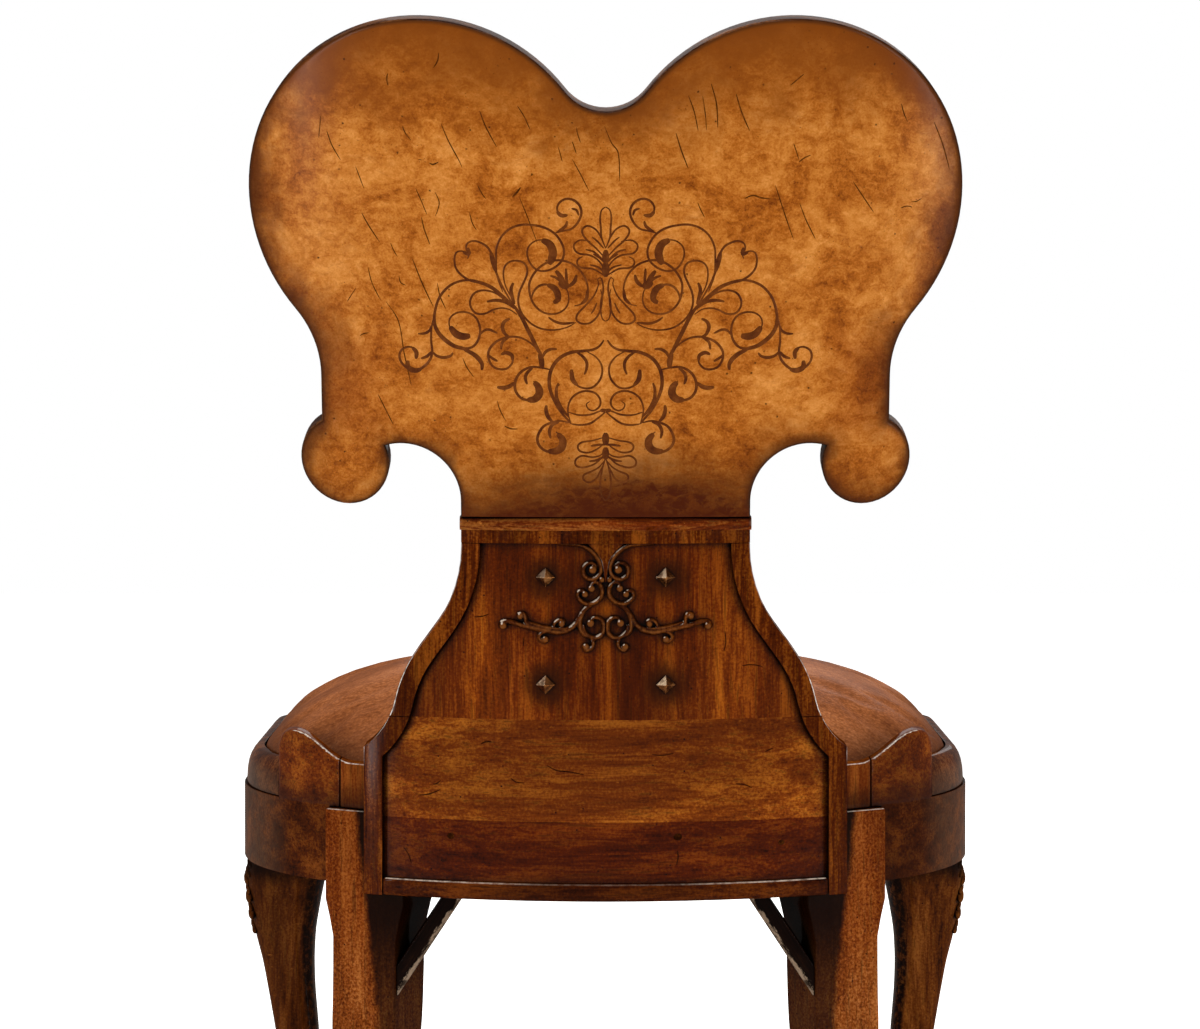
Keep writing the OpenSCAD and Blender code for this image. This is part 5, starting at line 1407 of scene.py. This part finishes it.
# Cracks: thin dark lines where the old veneer has opened, most of them slanting down to
# the right, drawn as (thickness, points) in the same millimetres, across from the middle.
crack_strokes = [
    # Left lobe
    (0.8, [(-206, 292), (-207, 284), (-208, 275)]),
    (0.9, [(-202, 281), (-198, 270), (-192, 260)]),
    (1.3, [(-156, 325), (-157, 321), (-156, 316)]),
    (1.0, [(-119, 341), (-120, 335), (-123, 330)]),
    (0.9, [(-146, 287), (-144, 282), (-140, 277)]),
    (0.9, [(-118, 290), (-113, 278), (-105, 263), (-103, 258)]),
    (1.1, [(-127, 261), (-124, 260), (-120, 262)]),
    (0.7, [(-135, 263), (-132, 263)]),
    (0.7, [(-181, 256), (-178, 248), (-175, 240)]),
    (0.8, [(-137, 242), (-133, 233), (-129, 223)]),
    (0.8, [(-123, 222), (-121, 227), (-120, 233), (-123, 240)]),
    (1.0, [(-133, 221), (-131, 212), (-127, 201)]),
    (1.0, [(-177, 222), (-172, 213), (-164, 201)]),
    (0.8, [(-156, 201), (-154, 196), (-151, 191)]),
    # Between the left lobe and the ear
    (0.8, [(-173, 182), (-170, 170), (-164, 158)]),
    (0.9, [(-160, 157), (-151, 143), (-147, 119), (-142, 95)]),
    (1.0, [(-140, 190), (-133, 172), (-125, 155)]),
    (0.9, [(-122, 173), (-120, 163), (-116, 154)]),
    (0.7, [(-189, 155), (-186, 160), (-182, 166)]),
    (0.8, [(-180, 130), (-177, 132), (-173, 133)]),
    (0.9, [(-167, 87), (-162, 77), (-156, 65)]),
    (0.9, [(-104, 118), (-101, 111), (-96, 104)]),
    (1.1, [(-74, 68), (-69, 66), (-64, 66)]),
    (0.8, [(-79, 87), (-77, 80), (-73, 72)]),
    (1.0, [(-61, 87), (-60, 91)]),
    (0.8, [(-150, 177), (-149, 172), (-145, 170)]),
    # Middle, under the notch
    (1.0, [(-90, 300), (-86, 289), (-78, 274)]),
    (0.9, [(-63, 304), (-58, 296), (-54, 287)]),
    (0.9, [(-21, 289), (-20, 284), (-18, 278)]),
    (0.9, [(-1, 290), (4, 278), (9, 270), (10, 250)]),
    (0.8, [(-24, 266), (-18, 255), (-12, 243)]),
    (0.7, [(-34, 275), (-31, 264)]),
    (0.8, [(-24, 279), (-21, 270)]),
    (1.6, [(-67, 238), (-64, 241), (-61, 245)]),
    (0.7, [(-62, 238), (-56, 223), (-49, 204)]),
    (0.8, [(-92, 246), (-89, 240), (-86, 236)]),
    (0.8, [(-98, 226), (-96, 218), (-93, 213)]),
    # Right lobe
    (0.9, [(59, 311), (63, 300), (66, 286)]),
    (1.0, [(75, 320), (79, 305), (80, 288)]),
    (0.7, [(69, 311), (71, 298), (72, 286)]),
    (1.1, [(93, 312), (97, 299), (103, 285)]),
    (1.0, [(50, 285), (54, 272), (59, 259)]),
    (1.3, [(100, 236), (106, 238), (112, 236), (119, 235)]),
    (0.8, [(66, 234), (68, 229), (71, 223)]),
    (0.9, [(214, 300), (216, 293), (219, 286)]),
    (1.0, [(239, 285), (246, 268), (252, 248)]),
    (0.9, [(122, 245), (130, 221), (136, 204)]),
    (0.9, [(140, 231), (145, 218), (152, 204)]),
    (0.9, [(179, 245), (187, 233), (195, 221)]),
    (0.9, [(132, 317), (137, 321), (142, 325)]),
    (1.1, [(139, 261), (143, 264), (148, 266)]),
    (0.8, [(135, 275), (137, 269), (139, 263)]),
    (1.0, [(215, 223), (220, 224), (224, 223)]),
    (0.8, [(223, 227), (227, 227), (231, 229)]),
]
crack_mesh = bmesh.new()
for width, points in crack_strokes:
    ribbon(crack_mesh, points, width, low_round, 1, on_veneer, 0.2)
cracks = made_of(crack_mesh, "veneer_cracks")
dirt = Paint("crack_dirt")
dirt_depth = dirt.noise(dirt.place, 130, 4, 0.7)
dirt_colour = dirt.ramp(dirt_depth, [(0.35, (0.035, 0.010, 0.002)), (0.55, (0.085, 0.022, 0.003)),
                                     (0.7, (0.17, 0.05, 0.008))])
cracks.data.materials.append(dirt.finish(dirt_colour, 0.6, None, 0, 0))
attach(cracks, "root")


# Leather pad: a dome over the drop-in frame, upright at its edge behind the moulding,
# blown up by a cloth simulation and held down by the frame all round.
pad_floor = 0.44023
pad_crown = 0.5102
pad_middle = (248 - plan_middle)*MM
pad_inset = 16.8
pad_rise = 66*MM
pad_rings = [
    # share of the plan, share of the rise
    (1, 0), (1, 0.06), (1, 0.15), (0.985, 0.27), (0.95, 0.41), (0.905, 0.545), (0.85, 0.685),
    (0.785, 0.80), (0.7, 0.88), (0.6, 0.93), (0.47, 0.965), (0.32, 0.988), (0.16, 1)]


def round_of(centre, radius, start, end, count):
    """Points of an arc in plan, in millimetres of the drawing, from start towards end."""
    turns = [math.radians(start + (end - start)*i/count) for i in range(count)]
    return [(centre[0] + radius*math.cos(turn), centre[1] + radius*math.sin(turn)) for turn in turns]


def seat_outline(inset):
    """The seat's plan drawn in by an inset, once round, in metres of the chair."""
    half = (round_of((0, 360), 360 - inset, -90, -52.33, 16)
            + round_of((110, 217.522), 180 - inset, -52.33, 0, 16)
            + round_of((230, 383.899), 60 - inset, 0, 74.11, 10)
            + round_of((0, -424), 900 - inset, 74.11, 90, 10))
    half.append((0, 476 - inset))
    whole = half + [(-x, y) for x, y in half[-2:0:-1]]
    return [(x*MM, (y - plan_middle)*MM) for x, y in whole]


edge_line = seat_outline(pad_inset)
pad = lofted("leather_pad", [[(share*x, pad_middle + share*(y - pad_middle), pad_floor + lift*pad_rise)
                              for x, y in edge_line] for share, lift in pad_rings])
held_height = 0.009
free_from, free_within = 0.452, 0.012
most_move = 0.006
cloth_frames = 20
fuse(pad, 0.006)
held = pad.vertex_groups.new(name="held")
at_rest = [vertex.co.copy() for vertex in pad.data.vertices]
for vertex in pad.data.vertices:
    if vertex.co.z < pad_floor + held_height:
        held.add([vertex.index], 1, "REPLACE")
cloth = pad.modifiers.new("stuffing", "CLOTH")
cloth.settings.quality = 6
cloth.settings.mass = 0.3
cloth.settings.tension_stiffness = 40
cloth.settings.compression_stiffness = 25
cloth.settings.bending_stiffness = 4
cloth.settings.use_pressure = True
cloth.settings.uniform_pressure_force = 4
cloth.settings.vertex_group_mass = held.name
cloth.settings.effector_weights.gravity = 0
cloth.point_cache.frame_start = 1
cloth.point_cache.frame_end = cloth_frames
for moment in range(1, cloth_frames + 1):
    bpy.context.scene.frame_set(moment)
blown = pad.evaluated_get(bpy.context.evaluated_depsgraph_get())
swollen = [vertex.co.copy() for vertex in blown.data.vertices]
only(pad)
pad.modifiers.remove(cloth)
bpy.context.scene.frame_set(1)
for vertex, before, after in zip(pad.data.vertices, at_rest, swollen):
    move = after - before
    lifted = max(0, min(1, (before.z - free_from)/free_within))
    move.x *= lifted
    move.y *= lifted
    if move.length > most_move:
        move = move.normalized()*most_move
    vertex.co = before + move
    vertex.co.z = min(max(vertex.co.z, pad_floor), pad_crown)
only(pad)
full = pad.modifiers.new("full", "SUBSURF")
full.levels = full.render_levels = 1
bpy.ops.object.modifier_apply(modifier=full.name)
bpy.ops.object.shade_smooth()


def hide(name):
    """Matte red-brown leather: crinkled grain, faint streaks, darker towards the rim."""
    paint = Paint(name)
    wander = paint.warped(paint.place, 14, 0.02)
    cloud = paint.noise(wander, 16, 6, 0.6)
    quiver = paint.warped(paint.place, 60, 0.004)
    streaks = paint.noise(paint.stretched((150, 420, 260), (0, 0, 0.6), quiver), 1, 6, 0.72)
    value = paint.blend((0.5, cloud), (0.5, streaks))
    colour = paint.ramp(value, [(0.38, (0.145, 0.039, 0.010)), (0.50, (0.280, 0.088, 0.026)),
                                (0.62, (0.43, 0.155, 0.057))])
    grain_cells = paint.cells(paint.warped(paint.place, 220, 0.003), 430)
    colour = paint.mix(paint.step(grain_cells, 0.35, 0.75, 0, 0.40), colour, (0.10, 0.026, 0.009, 1))
    across, depth, height = paint.coordinates()
    colour = paint.mix(paint.step(height, 0.482, 0.450, 0, 0.75), colour, (0.055, 0.016, 0.006, 1))
    relief = paint.bump(paint.step(grain_cells, 0.2, 0.8, 1, 0), 0.0006, 0.6)
    relief = paint.bump(streaks, 0.0012, 0.5, relief)
    return paint.finish(colour, paint.step(cloud, 0.3, 0.7, 0.50, 0.62), relief, 0, 0.06, 0.35)


pad.data.materials.append(hide("brown_leather"))
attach(pad, "root")
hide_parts("seat_pad")
